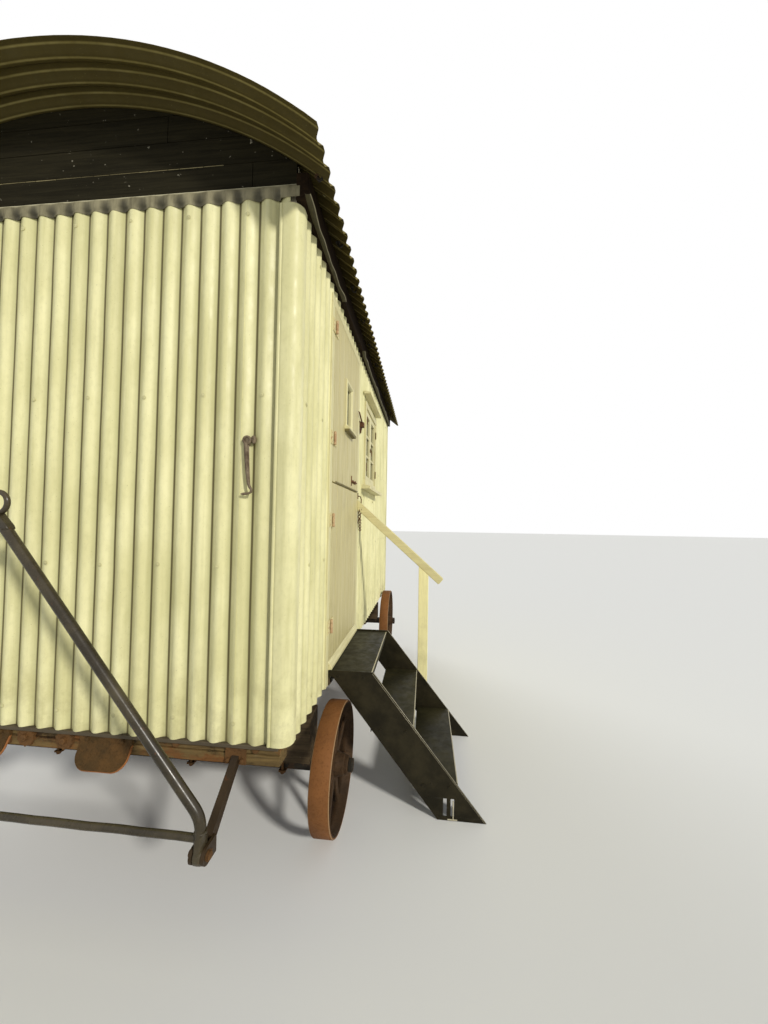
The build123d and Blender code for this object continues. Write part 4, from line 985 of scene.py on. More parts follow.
def door_drip():
    """A thin dark olive strip along the foot of the upper leaf, partly painted shade, a dark strip under the
    window's small sill as its painted shadow, and the sill.
    """
    x = HALF_WIDTH
    strip = Build()
    # The strip under the pane's sill is the sill's painted shadow; the strip at the leaf's foot is dark
    # partly as painted shade.
    strip.box(x - 0.001, x + 0.006, HINGE_Y + 0.064, FREE_Y - 0.004, DOOR_SPLIT + 0.0035, DOOR_SPLIT + 0.0105)
    strip.box(x - 0.001, x + 0.026, PANE_Y0 - 0.012, PANE_Y1 + 0.012, PANE_Z0 - 0.030, PANE_Z0 - 0.0185)
    strip.make("door_foot_strip", "sill_edge", "cream_timber", body="upper_leaf", bevel=0.002)
    build = Build()
    sill = [(-0.004, 0.004), (-0.004, -0.018), (0.030, -0.018), (0.030, -0.008)]
    build.prism([(x + dx, PANE_Z0 + dz) for dx, dz in sill], PANE_Y0 - 0.014, PANE_Y1 + 0.014)
    build.make(
        "door_drips", "cream_along", "cream_timber", body="upper_leaf", bevel=0.0015, smooth=30, outward=True)


def door_window():
    """A small frame with a moulded inner edge round the door's pane."""
    width = 0.022
    x = HALF_WIDTH + 0.008
    steps = [
        (0.0, x - 0.003), (0.003, x), (0.014, x), (0.019, x - 0.006), (width, x - 0.010),
        (width, HALF_WIDTH - 0.017), (width, DOOR_IN), (0.0, DOOR_IN),
    ]
    corners = [
        (PANE_Y0, PANE_Z0, 1, 1), (PANE_Y1, PANE_Z0, -1, 1),
        (PANE_Y1, PANE_Z1, -1, -1), (PANE_Y0, PANE_Z1, 1, -1),
    ]
    build = Build()
    points = [(x, y + sy * inset, z + sz * inset) for y, z, sy, sz in corners for inset, x in steps]
    build.add(points, turned_faces(4, len(steps)))
    build.make(
        "door_window_moulding", "cream_timber", "cream_timber", "door_window_frame", "upper_leaf",
        smooth=30, outward=True)


def door_frame():
    """Posts, head and the sloping weatherboard, with rounded edges."""
    build = Build()
    for y in (HINGE_Y - DOOR_GAP - POST, FREE_Y + DOOR_GAP):
        build.tone = random.random()
        build.box(INNER_X, HALF_WIDTH, y, y + POST, SHEETS_BOTTOM, DOOR_TOP + DOOR_GAP)
    build.tone = 0.2
    build.box(INNER_X, HALF_WIDTH, POST_NEAR, POST_FAR, DOOR_TOP + DOOR_GAP, HEAD_TOP)
    build.make("door_surround", "cream_timber", "cream_timber", "door_posts door_head", bevel=0.003)
    board = Build()
    top = DOOR_BOTTOM - DOOR_GAP
    outline = [
        (DOOR_IN, top), (DOOR_IN, top - 0.044), (HALF_WIDTH + 0.016, top - 0.044),
        (HALF_WIDTH + 0.016, top - 0.030), (HALF_WIDTH, top - 0.004),
    ]
    board.prism(outline, HINGE_Y - DOOR_GAP, FREE_Y + DOOR_GAP)
    board.make(
        "door_weatherboard_sloped", "cream_along", "cream_timber", "door_weatherboard",
        bevel=0.002, smooth=30, outward=True)


def hinges():
    """Butt hinges: painted straps with screws, and rusty knuckles and pins with round ends."""
    half = 0.032
    middle = 0.014
    screws = (-0.022, 0.0, 0.022)
    x0, x1 = HALF_WIDTH + 0.0002, HALF_WIDTH + 0.004
    for body, heights in (("lower_leaf", LOWER_HINGES), ("upper_leaf", UPPER_HINGES)):
        straps = Build()
        knuckles = Build()
        for z in heights:
            straps.box(x0, x1, HINGE_Y + 0.008, HINGE_Y + 0.060, z - half, z + half)
            straps.box(x0, x1, HINGE_Y, HINGE_Y + 0.009, z - middle + 0.001, z + middle - 0.001)
            knuckles.lathe([
                (0.0041, -middle), (0.0065, -middle), (0.007, -middle + 0.0008), (0.007, middle - 0.0008),
                (0.0065, middle), (0.0041, middle),
            ], Matrix.Translation((HINGE_X, HINGE_Y, z)), 24)
            for dz in screws:
                knuckles.dome((x1, HINGE_Y + (0.042 if dz else 0.026), z + dz), (1, 0, 0), 0.0042, 0.0012)
        node = f"door_{body.split('_')[0]}_hinges"
        straps.make(node + "_straps", "hinge_paint", "rusty_iron", node, body, smooth=40)
        knuckles.make(node + "_knuckles", "hinge_rust", "rusty_iron", body=body, smooth=40)
    straps = Build()
    knuckles = Build()
    for z in LOWER_HINGES + UPPER_HINGES:
        straps.box(x0, x1, HINGE_Y - 0.045, HINGE_Y - 0.008, z - half, z + half)
        for low, high in ((z - half, z - middle - 0.001), (z + middle + 0.001, z + half)):
            straps.box(x0, x1, HINGE_Y - 0.009, HINGE_Y - 0.002, low, high)
            size = (high - low) / 2
            knuckles.lathe([
                (CORE, -size), (0.0062, -size), (0.007, -size + 0.001), (0.007, size - 0.001),
                (0.0062, size), (CORE, size),
            ], Matrix.Translation((HINGE_X, HINGE_Y, (low + high) / 2)), 24)
        pin = [(CORE, -0.033), (0.004, -0.033), (0.004, 0.033), (0.0028, 0.0345), (CORE, 0.035)]
        knuckles.lathe(pin, Matrix.Translation((HINGE_X, HINGE_Y, z)), 16)
        for dz in screws:
            knuckles.dome((x1, HINGE_Y - 0.030, z + dz), (1, 0, 0), 0.0042, 0.0012)
    straps.make("post_hinge_straps", "hinge_paint", "rusty_iron", "post_hinges", smooth=40)
    knuckles.make("post_hinge_knuckles", "hinge_rust", "rusty_iron", smooth=40)


def latch():
    """A bolt in two keepers on a plate, with a round knob."""
    x, y, z = HALF_WIDTH, HINGE_Y + 0.545, 1.615
    build = Build()
    build.box(x + 0.0002, x + 0.0035, y - 0.072, y - 0.060, z - 0.028, z + 0.032)
    build.box(x + 0.0002, x + 0.0030, y - 0.060, y + 0.075, z - 0.009, z + 0.009)
    for dy in (-0.040, 0.030):
        build.ring((x + 0.005, y + dy, z), (0, 1, 0), 0.0070, 0.0020, 20, 8)
    build.tube([(x + 0.008, y - 0.066, z), (x + 0.008, y + 0.074, z)], 0.0042, 14)
    build.tube([(x + 0.008, y - 0.010, z), (x + 0.019, y - 0.010, z + 0.002)], [0.0032, 0.0050], 12)
    for dz in (0.024, -0.021):
        build.dome((x + 0.0035, y - 0.066, z + dz), (1, 0, 0), 0.0040, 0.0012)
    build.make("door_latch_detail", "latch_rust", "rusty_iron", "door_latch", "upper_leaf", smooth=40)


def hasp():
    """A hasp on the door post, with its chain of six large and seven small rings."""
    x, y = HALF_WIDTH, FREE_Y + DOOR_GAP + POST / 2
    build = Build()
    build.box(x + 0.0005, x + 0.0035, y - 0.009, y + 0.009, 1.520, 1.562)
    strap = ((0.002, 1.534), (0.009, 1.541), (0.019, 1.535), (0.025, 1.517), (0.024, 1.488), (0.020, 1.460))
    build.tube([(x + dx, y, z) for dx, z in strap], [0.0032, 0.0034, 0.0036, 0.0036, 0.0034, 0.0034], 10)
    links = ((0.019, 1.450), (0.013, 1.440), (0.016, 1.427), (0.019, 1.414), (0.014, 1.401), (0.018, 1.388))
    for n, (dx, z) in enumerate(links):
        axis = (1, 0.3, 0) if n % 2 else (0.2, 1, 0)
        build.ring((x + dx, y + 0.002 * (n % 2), z), axis, 0.0095, 0.0028, 18, 7)
    hook = ((0.014, 1.392), (0.008, 1.378), (0.005, 1.356))
    build.tube([(x + dx, y, z) for dx, z in hook], [0.0030, 0.0034, 0.0026], 10)
    for n in range(7):
        axis = (1, 0, 0) if n % 2 else (0, 1, 0)
        build.ring((x + 0.019, y + 0.0015 * (n % 2), 1.378 - 0.0108 * n), axis, 0.0074, 0.0024, 16, 6)
    for z in (1.528, 1.554):
        build.dome((x + 0.0035, y, z), (1, 0, 0), 0.0040, 0.0012)
    build.make("hasp_and_chain", "chain_rust", "rusty_iron", smooth=40)


def wall_stay():
    """A pointed plate on the wall beyond the door, with a curved hook that holds the leaf back."""
    x, y, z = HALF_WIDTH, FRONT + 1.200, 2.035
    build = Build()
    plate = ((0.062, 0.020), (0.112, -0.056), (0.168, 0.004), (0.152, 0.024))
    build.prism([(y + dy, z + dz) for dy, dz in plate], x - 0.004, x + 0.006, lambda a, b, c: (c, a, b))
    build.box(x - 0.004, x + 0.026, y + 0.088, y + 0.130, z - 0.014, z + 0.018)
    hook = ((0.016, 0.108, 0.004), (0.012, 0.060, 0.034), (0.010, 0.010, 0.062), (0.006, -0.004, 0.064))
    build.tube([(x + dx, y + dy, z + dz) for dx, dy, dz in hook], [0.0058, 0.0054, 0.0046, 0.0030], 10)
    for dy, dz in ((0.090, 0.010), (0.136, 0.010), (0.112, -0.034)):
        build.dome((x + 0.006, y + dy, z + dz), (1, 0, 0), 0.005, 0.0016)
    build.make("wall_stay_hook", "stay_rust", "rusty_iron", bevel=0.0015, smooth=40)


door_leaves()
door_drip()
door_window()
door_frame()
hinges()
latch()
hasp()
wall_stay()


# ---------------------------------------------------------------- windows
def rails_and_stiles(y0, y1, z0, z1, width):
    """The four members of a frame: lower and upper rail, then the stiles between them."""
    return (
        (y0, y1, z0, z0 + width), (y0, y1, z1 - width, z1),
        (y0, y0 + width, z0 + width, z1 - width), (y1 - width, y1, z0 + width, z1 - width),
    )


def windows():
    """Frames, casements with glazing bars, sills and drip boards, on both sides."""
    build = Build()
    bars = Build()
    bottom, top = WIN_Z0 + 0.0423, WIN_Z1 - 0.044
    light_width = (WIN_Y1 - WIN_Y0 - 2 * WIN_FRAME - 0.006) / 2
    x_out, x_in = HALF_WIDTH, HALF_WIDTH - 0.036
    middle = (x_out + x_in) / 2
    w = 0.040
    for side in (1, -1):
        for member in rails_and_stiles(WIN_Y0, WIN_Y1, WIN_Z0, WIN_Z1, WIN_FRAME):
            build.tone = random.random()
            build.box(side * INNER_X, side * (HALF_WIDTH + 0.010), *member)
        for n in range(2):
            y0 = WIN_Y0 + 0.044 + n * (light_width + 0.002)
            y1 = y0 + light_width
            for member in rails_and_stiles(y0, y1, bottom, top, w):
                bars.tone = random.random()
                bars.box(side * x_in, side * x_out, *member)
            for k in (1, 2):
                z = bottom + w + (top - bottom - 2 * w) * k / 3
                for a, b in ((middle + 0.0045, x_out - 0.003), (x_in, middle - 0.0005)):
                    bars.box(side * a, side * b, y0 + w, y1 - w, z - 0.009, z + 0.009)
    build.make("window_frames_rounded", "cream_timber", "cream_timber", "window_frames", bevel=0.003)
    bars.make("window_casement_bars", "cream_timber", "cream_timber", "window_casements", bevel=0.002)

    boards = Build()
    x = HALF_WIDTH
    drip = [(x - 0.003, 0), (x + 0.048, 0), (x + 0.048, 0.012), (x - 0.003, 0.024)]
    sill = [
        (FACE_X, 0.003), (x + 0.046, 0.003), (x + 0.047, 0.008), (x + 0.051, 0.008), (x + 0.051, 0),
        (x + 0.060, 0), (x + 0.060, 0.024), (x + 0.010, 0.036), (FACE_X, 0.036),
    ]
    for side in (1, -1):
        for shape, z, reach in ((drip, WIN_Z1 + 0.040, 0.040), (sill, SILL_BOTTOM, SILL_REACH)):
            outline = [(side * a, z + b) for a, b in shape]
            boards.prism(outline, WIN_Y0 - reach, WIN_Y1 + reach)
    boards.make(
        "window_boards", "cream_along", "cream_timber", "window_drip_boards window_sills",
        bevel=0.0015, smooth=30, outward=True)

    catch = Build()
    y = (WIN_Y0 + WIN_Y1) / 2
    for side in (1, -1):
        pin_x = side * (x + 0.0115)
        for z in (WIN_Z0 + 0.14, WIN_Z1 - 0.14):
            for pin_y in (WIN_Y0 + 0.043, WIN_Y1 - 0.043):
                catch.tube([(pin_x, pin_y, z - 0.030), (pin_x, pin_y, z + 0.030)], 0.004, 10)
        catch.box(side * (x - 0.002), side * (x + 0.003), y - 0.016, y + 0.016, 1.935, 1.965)
        handle = ((0.004, 1.95), (0.012, 1.95), (0.012, 1.905))
        catch.tube([(side * (x + dx), y - 0.004, z) for dx, z in handle], 0.0035, 10)
    catch.make("window_ironwork", "rusty_iron", "rusty_iron", smooth=40)


windows()


# ---------------------------------------------------------------- wheels
def mirrored(profile):
    """A profile given for its lower half, with the upper half added."""
    return profile + [(r, -h) for r, h in reversed(profile)]


def spoke(build, matrix, angle, r):
    """One tapered spoke from the hub to the rim."""
    direction = Vector((math.cos(angle), math.sin(angle), 0))
    across = Vector((-math.sin(angle), math.cos(angle), 0))
    # Distance from the hub's middle, half width and half thickness.
    stations = [
        (0.046, 0.026, 0.0120), (0.056, 0.0222, 0.0090), (0.075, 0.0205, 0.0072), (r - 0.115, 0.0180, 0.0066),
        (r - 0.055, 0.0162, 0.0066), (r - 0.037, 0.0172, 0.0080), (r - 0.0245, 0.0215, 0.0110),
    ]
    points = []
    for s, wide, thick in stations:
        for c, d in circle(12):
            height = Vector((0, 0, squared(d, 0.75) * thick))
            points.append(matrix @ (direction * s + across * (squared(c, 0.55) * wide) + height))
    build.add(points, loft_faces(len(stations), 12))


def wheel(name, r, x, y):
    """A cast wheel: tyre with a worn bright edge, ridged rim, tapered spokes and hub, these three dark as
    painted shade.
    """
    body = name + "_body"
    matrix = sideways((x, y, r))
    half = WHEEL_W / 2
    tread = Build()
    band = [(r - 0.007, -half), (r - 0.0035, -half), (r - 0.00005, -half + 0.0045)]
    tread.lathe(mirrored(band), matrix, 96)
    tread.make(name + "_tyre", "rusty_wheel", "rusty_wheel", name, body, smooth=38, outward=True)
    build = Build()
    rim = [
        (r - 0.0068, half - 0.0008), (r - 0.010, half - 0.0004), (r - 0.0125, half - 0.003),
        (r - 0.015, 0.024), (r - 0.0255, 0.0105), (r - 0.028, 0.006),
    ]
    rim = mirrored(rim)
    build.lathe(rim[-1:] + rim[:-1], matrix, 96)
    end = half + HUB_PROUD
    hub = [
        (0.0229, -end), (0.034, -end), (0.038, -end + 0.004), (0.039, -0.052), (0.044, -0.048),
        (0.045, -0.040), (0.050, -0.021), (0.052, -0.016),
    ]
    build.lathe(mirrored(hub), matrix, 48)
    for n in range(8):
        spoke(build, matrix, (n + 0.5) * math.pi / 4, r)
    # Rim, spokes and hub take the dark inside colour: painted shade.
    build.make(name + "_cast", "wheel_inside", "rusty_wheel", body=body, smooth=38, outward=True)
    bright = Build()
    edge = ((0.0036, 0.0001), (0.0012, -0.0028), (0.0036, -0.0040), (0.0050, -0.001))
    for s in (-1, 1):
        bright.lathe([(r - inset, s * (half + rise)) for inset, rise in edge], matrix, 96)
    bright.make(name + "_rim_edge", "tyre_edge", "rusty_wheel", body=body, smooth=38, outward=True)


for end, radius, y in AXLES:
    for side_name, side in (("left", -1), ("right", 1)):
        wheel(f"{end}_{side_name}_wheel", radius, side * WHEEL_X, y)


def axles():
    """Square axle beams with clips, round stubs, nuts and split pins."""
    build = Build()
    collar = WHEEL_X - WHEEL_W / 2 - HUB_PROUD - 0.001
    stub_end = WHEEL_X + WHEEL_W / 2 + HUB_PROUD + 0.001 + 0.020
    nut = [(0.0226, -0.0195), (0.031, -0.0195), (0.031, -0.003), (0.027, -0.0005), (0.0226, -0.0005)]
    stub = [(CORE, -0.24), (0.0224, -0.24), (0.0224, -0.002), (0.0205, 0.0), (CORE, 0.0)]
    for _, radius, y in AXLES:
        build.box(-collar, collar, y - 0.025, y + 0.025, radius - 0.025, radius + 0.025)
        for side in (1, -1):
            matrix = sideways((side * stub_end, y, radius), side)
            build.lathe(stub, matrix, 32)
            build.lathe(nut, matrix, 6)
            x = side * (stub_end - 0.008)
            build.tube([(x, y, radius - 0.0335), (x, y, radius + 0.036)], 0.0026, 8)
    build.make("axles_detail", "dark_iron", "rusty_iron", "axles", bevel=0.0015, outward=True)
    clips = Build()
    for _, radius, y in AXLES:
        for x in (-0.78, -0.34, 0.34, 0.78):
            for dy in (-0.031, 0.031):
                clips.tube([(x, y + dy, radius - 0.030), (x, y + dy, BEAM_BOTTOM)], 0.006, 10)
            clips.box(x - 0.016, x + 0.016, y - 0.040, y + 0.040, radius - 0.034, radius - 0.026)
            for dy in (-0.031, 0.031):
                clips.bolt((x, y + dy, radius - 0.034), (0, 0, -1), 0.010, 0.009, 0.0)
    clips.make("axle_clips", "rusty_iron", "rusty_iron", bevel=0.001)


axles()


# ---------------------------------------------------------------- drawbar
def lean_point(x, y, z):
    """A point of the drawbar standing upright, as it leans back on its pivot."""
    c, s = math.cos(LEAN), math.sin(LEAN)
    return Vector((x, PIVOT_Y + y * c + z * s, PIVOT_Z - y * s + z * c))


def leg_path():
    """The middle line of the right leg, from its foot round the bend to the eye."""
    foot = 0.7427
    slope = Vector((-foot, 0, 0.898)).normalized()
    start = Vector((foot, 0, 0.109))
    path = [Vector((ARM_X, 0, 0.020)), Vector((0.7478, 0, 0.045)), Vector((0.7465, 0, 0.070))]
    a, b, c = Vector((0.7455, 0, 0.080)), start, start + slope * 0.034
    for t in spread(0, 1, 8):
        path.append(a * (1 - t) ** 2 + b * 2 * t * (1 - t) + c * t * t)
    total = (foot - 0.0350) / foot * (Vector((0, 0, 1.007)) - start).length
    return path + [start + slope * s for s in spread(0.034, total, 20)[1:]]


def drawbar_leg(side, node):
    """A bent tube, flattened to its forged foot."""
    build = Build()
    path = leg_path()
    squash = []
    for p in path:
        t = min(max((0.120 - p.z) / 0.085, 0), 1)
        squash.append((1 + 0.32 * t, 1 - 0.24 * t))
    build.tube([lean_point(side * p.x, p.y, p.z) for p in path], 0.017, 22, squash)
    turn = Matrix.Rotation(-LEAN, 4, "X") @ Matrix.Rotation(math.pi / 2, 4, "Y")
    boss = [(0.0082, -0.013), (0.024, -0.013), (0.0273, -0.0095), (0.0278, 0.0)]
    boss += [(r, -h) for r, h in boss[2::-1]]
    build.lathe(boss, Matrix.Translation(lean_point(side * ARM_X, 0, 0)) @ turn, 36)
    shank = ((0.004, 0.0262), (0.030, 0.0245), (0.050, 0.0225), (0.064, 0.0195))
    points = []
    for z, wide in shank:
        for c, d in circle(16):
            points.append(lean_point(side * (ARM_X + squared(c, 0.5) * 0.0128), squared(d, 0.7) * wide, z))
    build.add(points, loft_faces(len(shank), 16))
    collar = lean_point(side * 0.7467, 0, 0.067)
    build.ring(collar, (0, math.sin(LEAN), math.cos(LEAN)), 0.0165, 0.0034, 24, 8)
    steel = "black_steel_tube"
    build.make(node + "_tube", steel, steel, node, "drawbar", smooth=40, outward=True)


def drawbar():
    """Two legs, a crossbar, a welded head and the towing eye."""
    steel = ("black_steel_tube", "black_steel_tube")
    drawbar_leg(1, "drawbar_right_leg")
    drawbar_leg(-1, "drawbar_left_leg")
    bar = Build()
    path = []
    for k, x in enumerate(spread(-0.735, 0.735, 24)):
        path.append(lean_point(x, 0.0006 * math.sin(k), 0.047 + 0.0008 * math.sin(2 * k)))
    bar.tube(path, 0.0117, 16)
    for side in (1, -1):
        bar.ring(lean_point(side * 0.7335, 0, 0.047), (1, 0, 0), 0.0118, 0.0028, 20, 8)
    bar.make("drawbar_crossbar_rod", *steel, "drawbar_crossbar", "drawbar", smooth=40, outward=True)
    eye = Build()
    radius = 0.026 + 0.009 * math.cos(math.pi / 8) + 0.0003
    eye.ring(lean_point(0, 0, 1.052), (0, math.cos(LEAN), -math.sin(LEAN)), radius, 0.0086, 56, 16)
    half = [(0.0567, 0.965), (0.050, 0.978), (0.030, 0.999), (0.0165, 1.0135), (0.0135, 1.0180)]
    outline = [(-0.0567, 0.965), *half, *((-x, z) for x, z in half[:0:-1])]
    eye.prism(outline, -0.0148, 0.0148, lambda a, b, c: lean_point(a, c, b))
    eye.make(
        "drawbar_eye_forged", *steel, "drawbar_eye", "drawbar",
        bevel=0.004, smooth=40, segments=3, outward=True)
    weld = Build()
    for side in (1, -1):
        bead = []
        for a in spread(-math.pi / 2, math.pi / 2, 12):
            x = side * (0.0345 + 0.0225 * math.cos(a) * 0.95)
            bead.append(lean_point(x, 0.0165 * math.sin(a) * 1.03, 0.9655 + 0.0015 * math.sin(5 * a)))
        weld.tube(bead, 0.0026, 8)
    weld.make("drawbar_welds", *steel, body="drawbar", smooth=50)


def drawbar_pins():
    """Pin heads, washers and split pins on the forked arms, and the bolts at their feet."""
    build = Build()
    head = [
        (CORE, 0.0), (0.0150, 0.0), (0.0150, 0.0020), (0.0120, 0.0022), (0.0118, 0.0080), (0.0095, 0.0100),
        (CORE, 0.0105),
    ]
    for side in (1, -1):
        x = side * ARM_X
        for out in (1, -1):
            build.lathe(head, sideways((x + out * 0.0242, PIVOT_Y, PIVOT_Z), out), 24)
        pin_x = x + side * 0.030
        pin = [(pin_x, PIVOT_Y - 0.012, PIVOT_Z - 0.010), (pin_x, PIVOT_Y + 0.013, PIVOT_Z + 0.010)]
        build.tube(pin, 0.0018, 8)
        build.box(x - 0.038, x + 0.038, -FACE_Y - 0.006, -FACE_Y + 0.0005, 0.498, 0.568)
        for z in (0.513, 0.557):
            for dx in (-0.026, 0.026):
                build.bolt((x + dx, -FACE_Y - 0.006, z), (0, -1, 0), 0.008, 0.008)
    build.make("drawbar_arm_fixings", "rusty_iron", "rusty_iron", bevel=0.001, outward=True)


drawbar()
drawbar_pins()


# ---------------------------------------------------------------- ironwork and beams
def foot_plates():
    """Flared foot plates with paler rusty rims, partly a painted highlight, bolted under the front end."""
    build = Build()
    rims = Build()
    flare = math.radians(28)
    down = Vector((0, -math.sin(flare), -math.cos(flare)))
    out = Vector((0, -math.cos(flare), math.sin(flare)))
    half, corner, length = 0.104, 0.055, 0.094
    for side in (1, -1):
        cx = side * 0.2500
        root = Vector((cx, -FACE_Y, 0.535))
        for layer, inset, near, far in ((rims, 0.0, 0.0, 0.0075), (build, 0.0035, 0.0070, 0.0118)):
            outline = [(inset - half, 0.0), (inset - half, length - corner)]
            r = corner - inset
            for centre_x, start in ((corner - half, 180), (half - corner, 90)):
                for k in range(1, 11):
                    a = math.radians(start - 90 * k / 10)
                    outline.append((centre_x + r * math.cos(a), length - corner + r * math.sin(a)))
            outline.append((half - inset, 0.0))
            layer.prism(outline, near, far, lambda a, b, c: root + Vector((a, 0, 0)) + down * b + out * c)
        build.box(cx - half, cx + half, -FACE_Y - 0.012, -FACE_Y, 0.5345, 0.565)
        for dx in (-0.070, 0.070):
            build.bolt((cx + dx, -FACE_Y - 0.012, 0.550), (0, -1, 0), 0.008, 0.008)
    build.make("foot_plates_worn", "plate_rust", "rusty_iron", "foot_plates", bevel=0.0015, outward=True)
    # The rims' paler rust is partly a painted highlight.
    rims.make("foot_plate_rims", "rim_rust", "rusty_iron", bevel=0.0015, outward=True)


def star_plates():
    """Ten-pointed plates with a bolt through each."""
    stars = Build()
    for side in (1, -1):
        cx, cz = side * 0.080, 0.535
        outline = []
        for k in range(20):
            a = math.pi * k / 10 + math.pi / 2
            r = 0.0315 if k % 2 else 0.037
            outline.append((cx + r * math.cos(a), cz + r * math.sin(a)))
        stars.prism(outline, -FACE_Y - 0.011, -FACE_Y)
        stars.bolt((cx, -FACE_Y - 0.011, cz), (0, -1, 0), 0.013, 0.011)
    stars.make("star_plates_cast", "rusty_iron", "rusty_iron", "star_plates", bevel=0.002, outward=True)


def wall_hook():
    """The hanging hook on the front wall: a forged bracket of two lumps, and the rod in its ring."""
    x = END_CREST + 9.35 * PITCH
    plate_y = FRONT + 0.0165
    rod_y = plate_y - 0.024
    hook = Build()
    for cx, cz, wide, tall, seed in (
        (x - 0.004, 1.648, 0.0115, 0.0190, 1.0), (x + 0.0165, 1.655, 0.0100, 0.0160, 5.0),
    ):
        points = []
        for row in range(7):
            lean = math.radians(-80 + 160 * row / 6)
            for c, s in circle(16):
                lump = 1 + wobble(c * 2 + seed, row, s * 2, 2.1, 0.30)
                y = plate_y - 0.006 + 0.0105 * lump * math.cos(lean) * s
                points.append((cx + wide * lump * math.cos(lean) * c, y, cz + tall * math.sin(lean)))
        hook.add(points, loft_faces(7, 16))
    hook.tube([(x, plate_y, 1.650), (x, rod_y, 1.650)], 0.0080, 16)
    hook.dome((x + 0.018, plate_y - 0.015, 1.660), (0, -1, 0), 0.0050, 0.0025)
    # The hook's paler iron is partly a painted highlight.
    hook.make("hook_bracket_forged", "hook_iron", "rusty_iron", "hook_bracket", smooth=45, outward=True)
    rod = Build()
    rod.ring((x, rod_y, 1.650), (0, 1, 0), 0.0125, 0.0044)
    # Distance across, height and radius, from the ring to the point.
    bend = (
        (-0.004, 1.640, 0.0072), (-0.002, 1.600, 0.0066), (0.003, 1.540, 0.0060), (0.010, 1.494, 0.0056),
        (0.015, 1.482, 0.0052), (0.0215, 1.473, 0.0048), (0.0205, 1.465, 0.0044), (0.011, 1.4600, 0.0042),
        (-0.002, 1.4585, 0.0052), (-0.010, 1.4575, 0.0048), (-0.018, 1.4575, 0.0020),
    )
    rod.tube([(x + dx, rod_y, z) for dx, z, _ in bend], [r for _, _, r in bend], 14)
    stem = ((0.004, 0.003, 1.632), (0.007, 0.003, 1.560), (0.013, 0.002, 1.488))
    rod.tube([(x + dx, rod_y + dy, z) for dx, dy, z in stem], [0.0036, 0.0034, 0.0030], 10)
    rod.make("hook_rod_forged", "hook_iron", "rusty_iron", "hook_rod", smooth=45, outward=True)


def end_beams():
    """Weathered end beams of uneven timber, the dark strips over them, partly painted shade under the sheets'
    foot, and their bolts.
    """
    build = Build()
    rows = [
        (0.495, 0.0), (0.4965, 0.004), (0.531, 0.0045), (0.5325, 0.0), (0.536, 0.0), (0.5375, 0.0045),
        (0.5735, 0.004), (SHEETS_BOTTOM, 0.0),
    ]
    for sy in (-1, 1):
        points = []
        for x in spread(-END_REACH, END_REACH, 48):
            for z, out in rows:
                back = abs(wobble(x * 3, sy, z * 6, 5.0, 0.006)) if out else 0.010
                points.append((x, sy * (FACE_Y - back), z))
            points += [(x, sy * (FACE_Y - 0.075), z) for z in (SHEETS_BOTTOM, BEAM_BOTTOM)]
        build.tone = random.random()
        build.add(points, loft_faces(49, len(rows) + 2))
    beam = "weathered_beam"
    build.make("end_beams_weathered", beam, beam, "end_beams", smooth=40, outward=True)
    # Dark strips just below the sheets' foot, coloured partly as painted shade.
    strip = Build()
    for sy in (-1, 1):
        y0, y1 = sy * (HALF_LENGTH - 0.0235), sy * (HALF_LENGTH - 0.0050)
        strip.box(-END_REACH, END_REACH, y0, y1, 0.561, 0.5745)
    strip.make("sheet_foot_strips", "strip_metal", "dark_eaves", bevel=0.002)
    bolts = Build()
    for x in (-0.82, -0.52, -0.16, 0.16, 0.52, 0.82):
        for sy in (-1, 1):
            bolts.bolt((x, sy * (FACE_Y - 0.002), 0.513 if x < 0 else 0.552), (0, sy, 0), 0.013, 0.010)
    bolts.make("end_beam_bolts", "rusty_iron", "rusty_iron", bevel=0.001, outward=True)


foot_plates()
star_plates()
wall_hook()
end_beams()


# ---------------------------------------------------------------- steps and rail
STEP_TOP = 0.652
STRINGER_REACH = 0.745
STRINGER_TOP = 0.215
STRINGER_THICK = 0.006
FOOT_BACK = STRINGER_REACH - 0.222
SLOTS = (FOOT_BACK + 0.034, FOOT_BACK + 0.068)
SLOT_HALF = 0.008


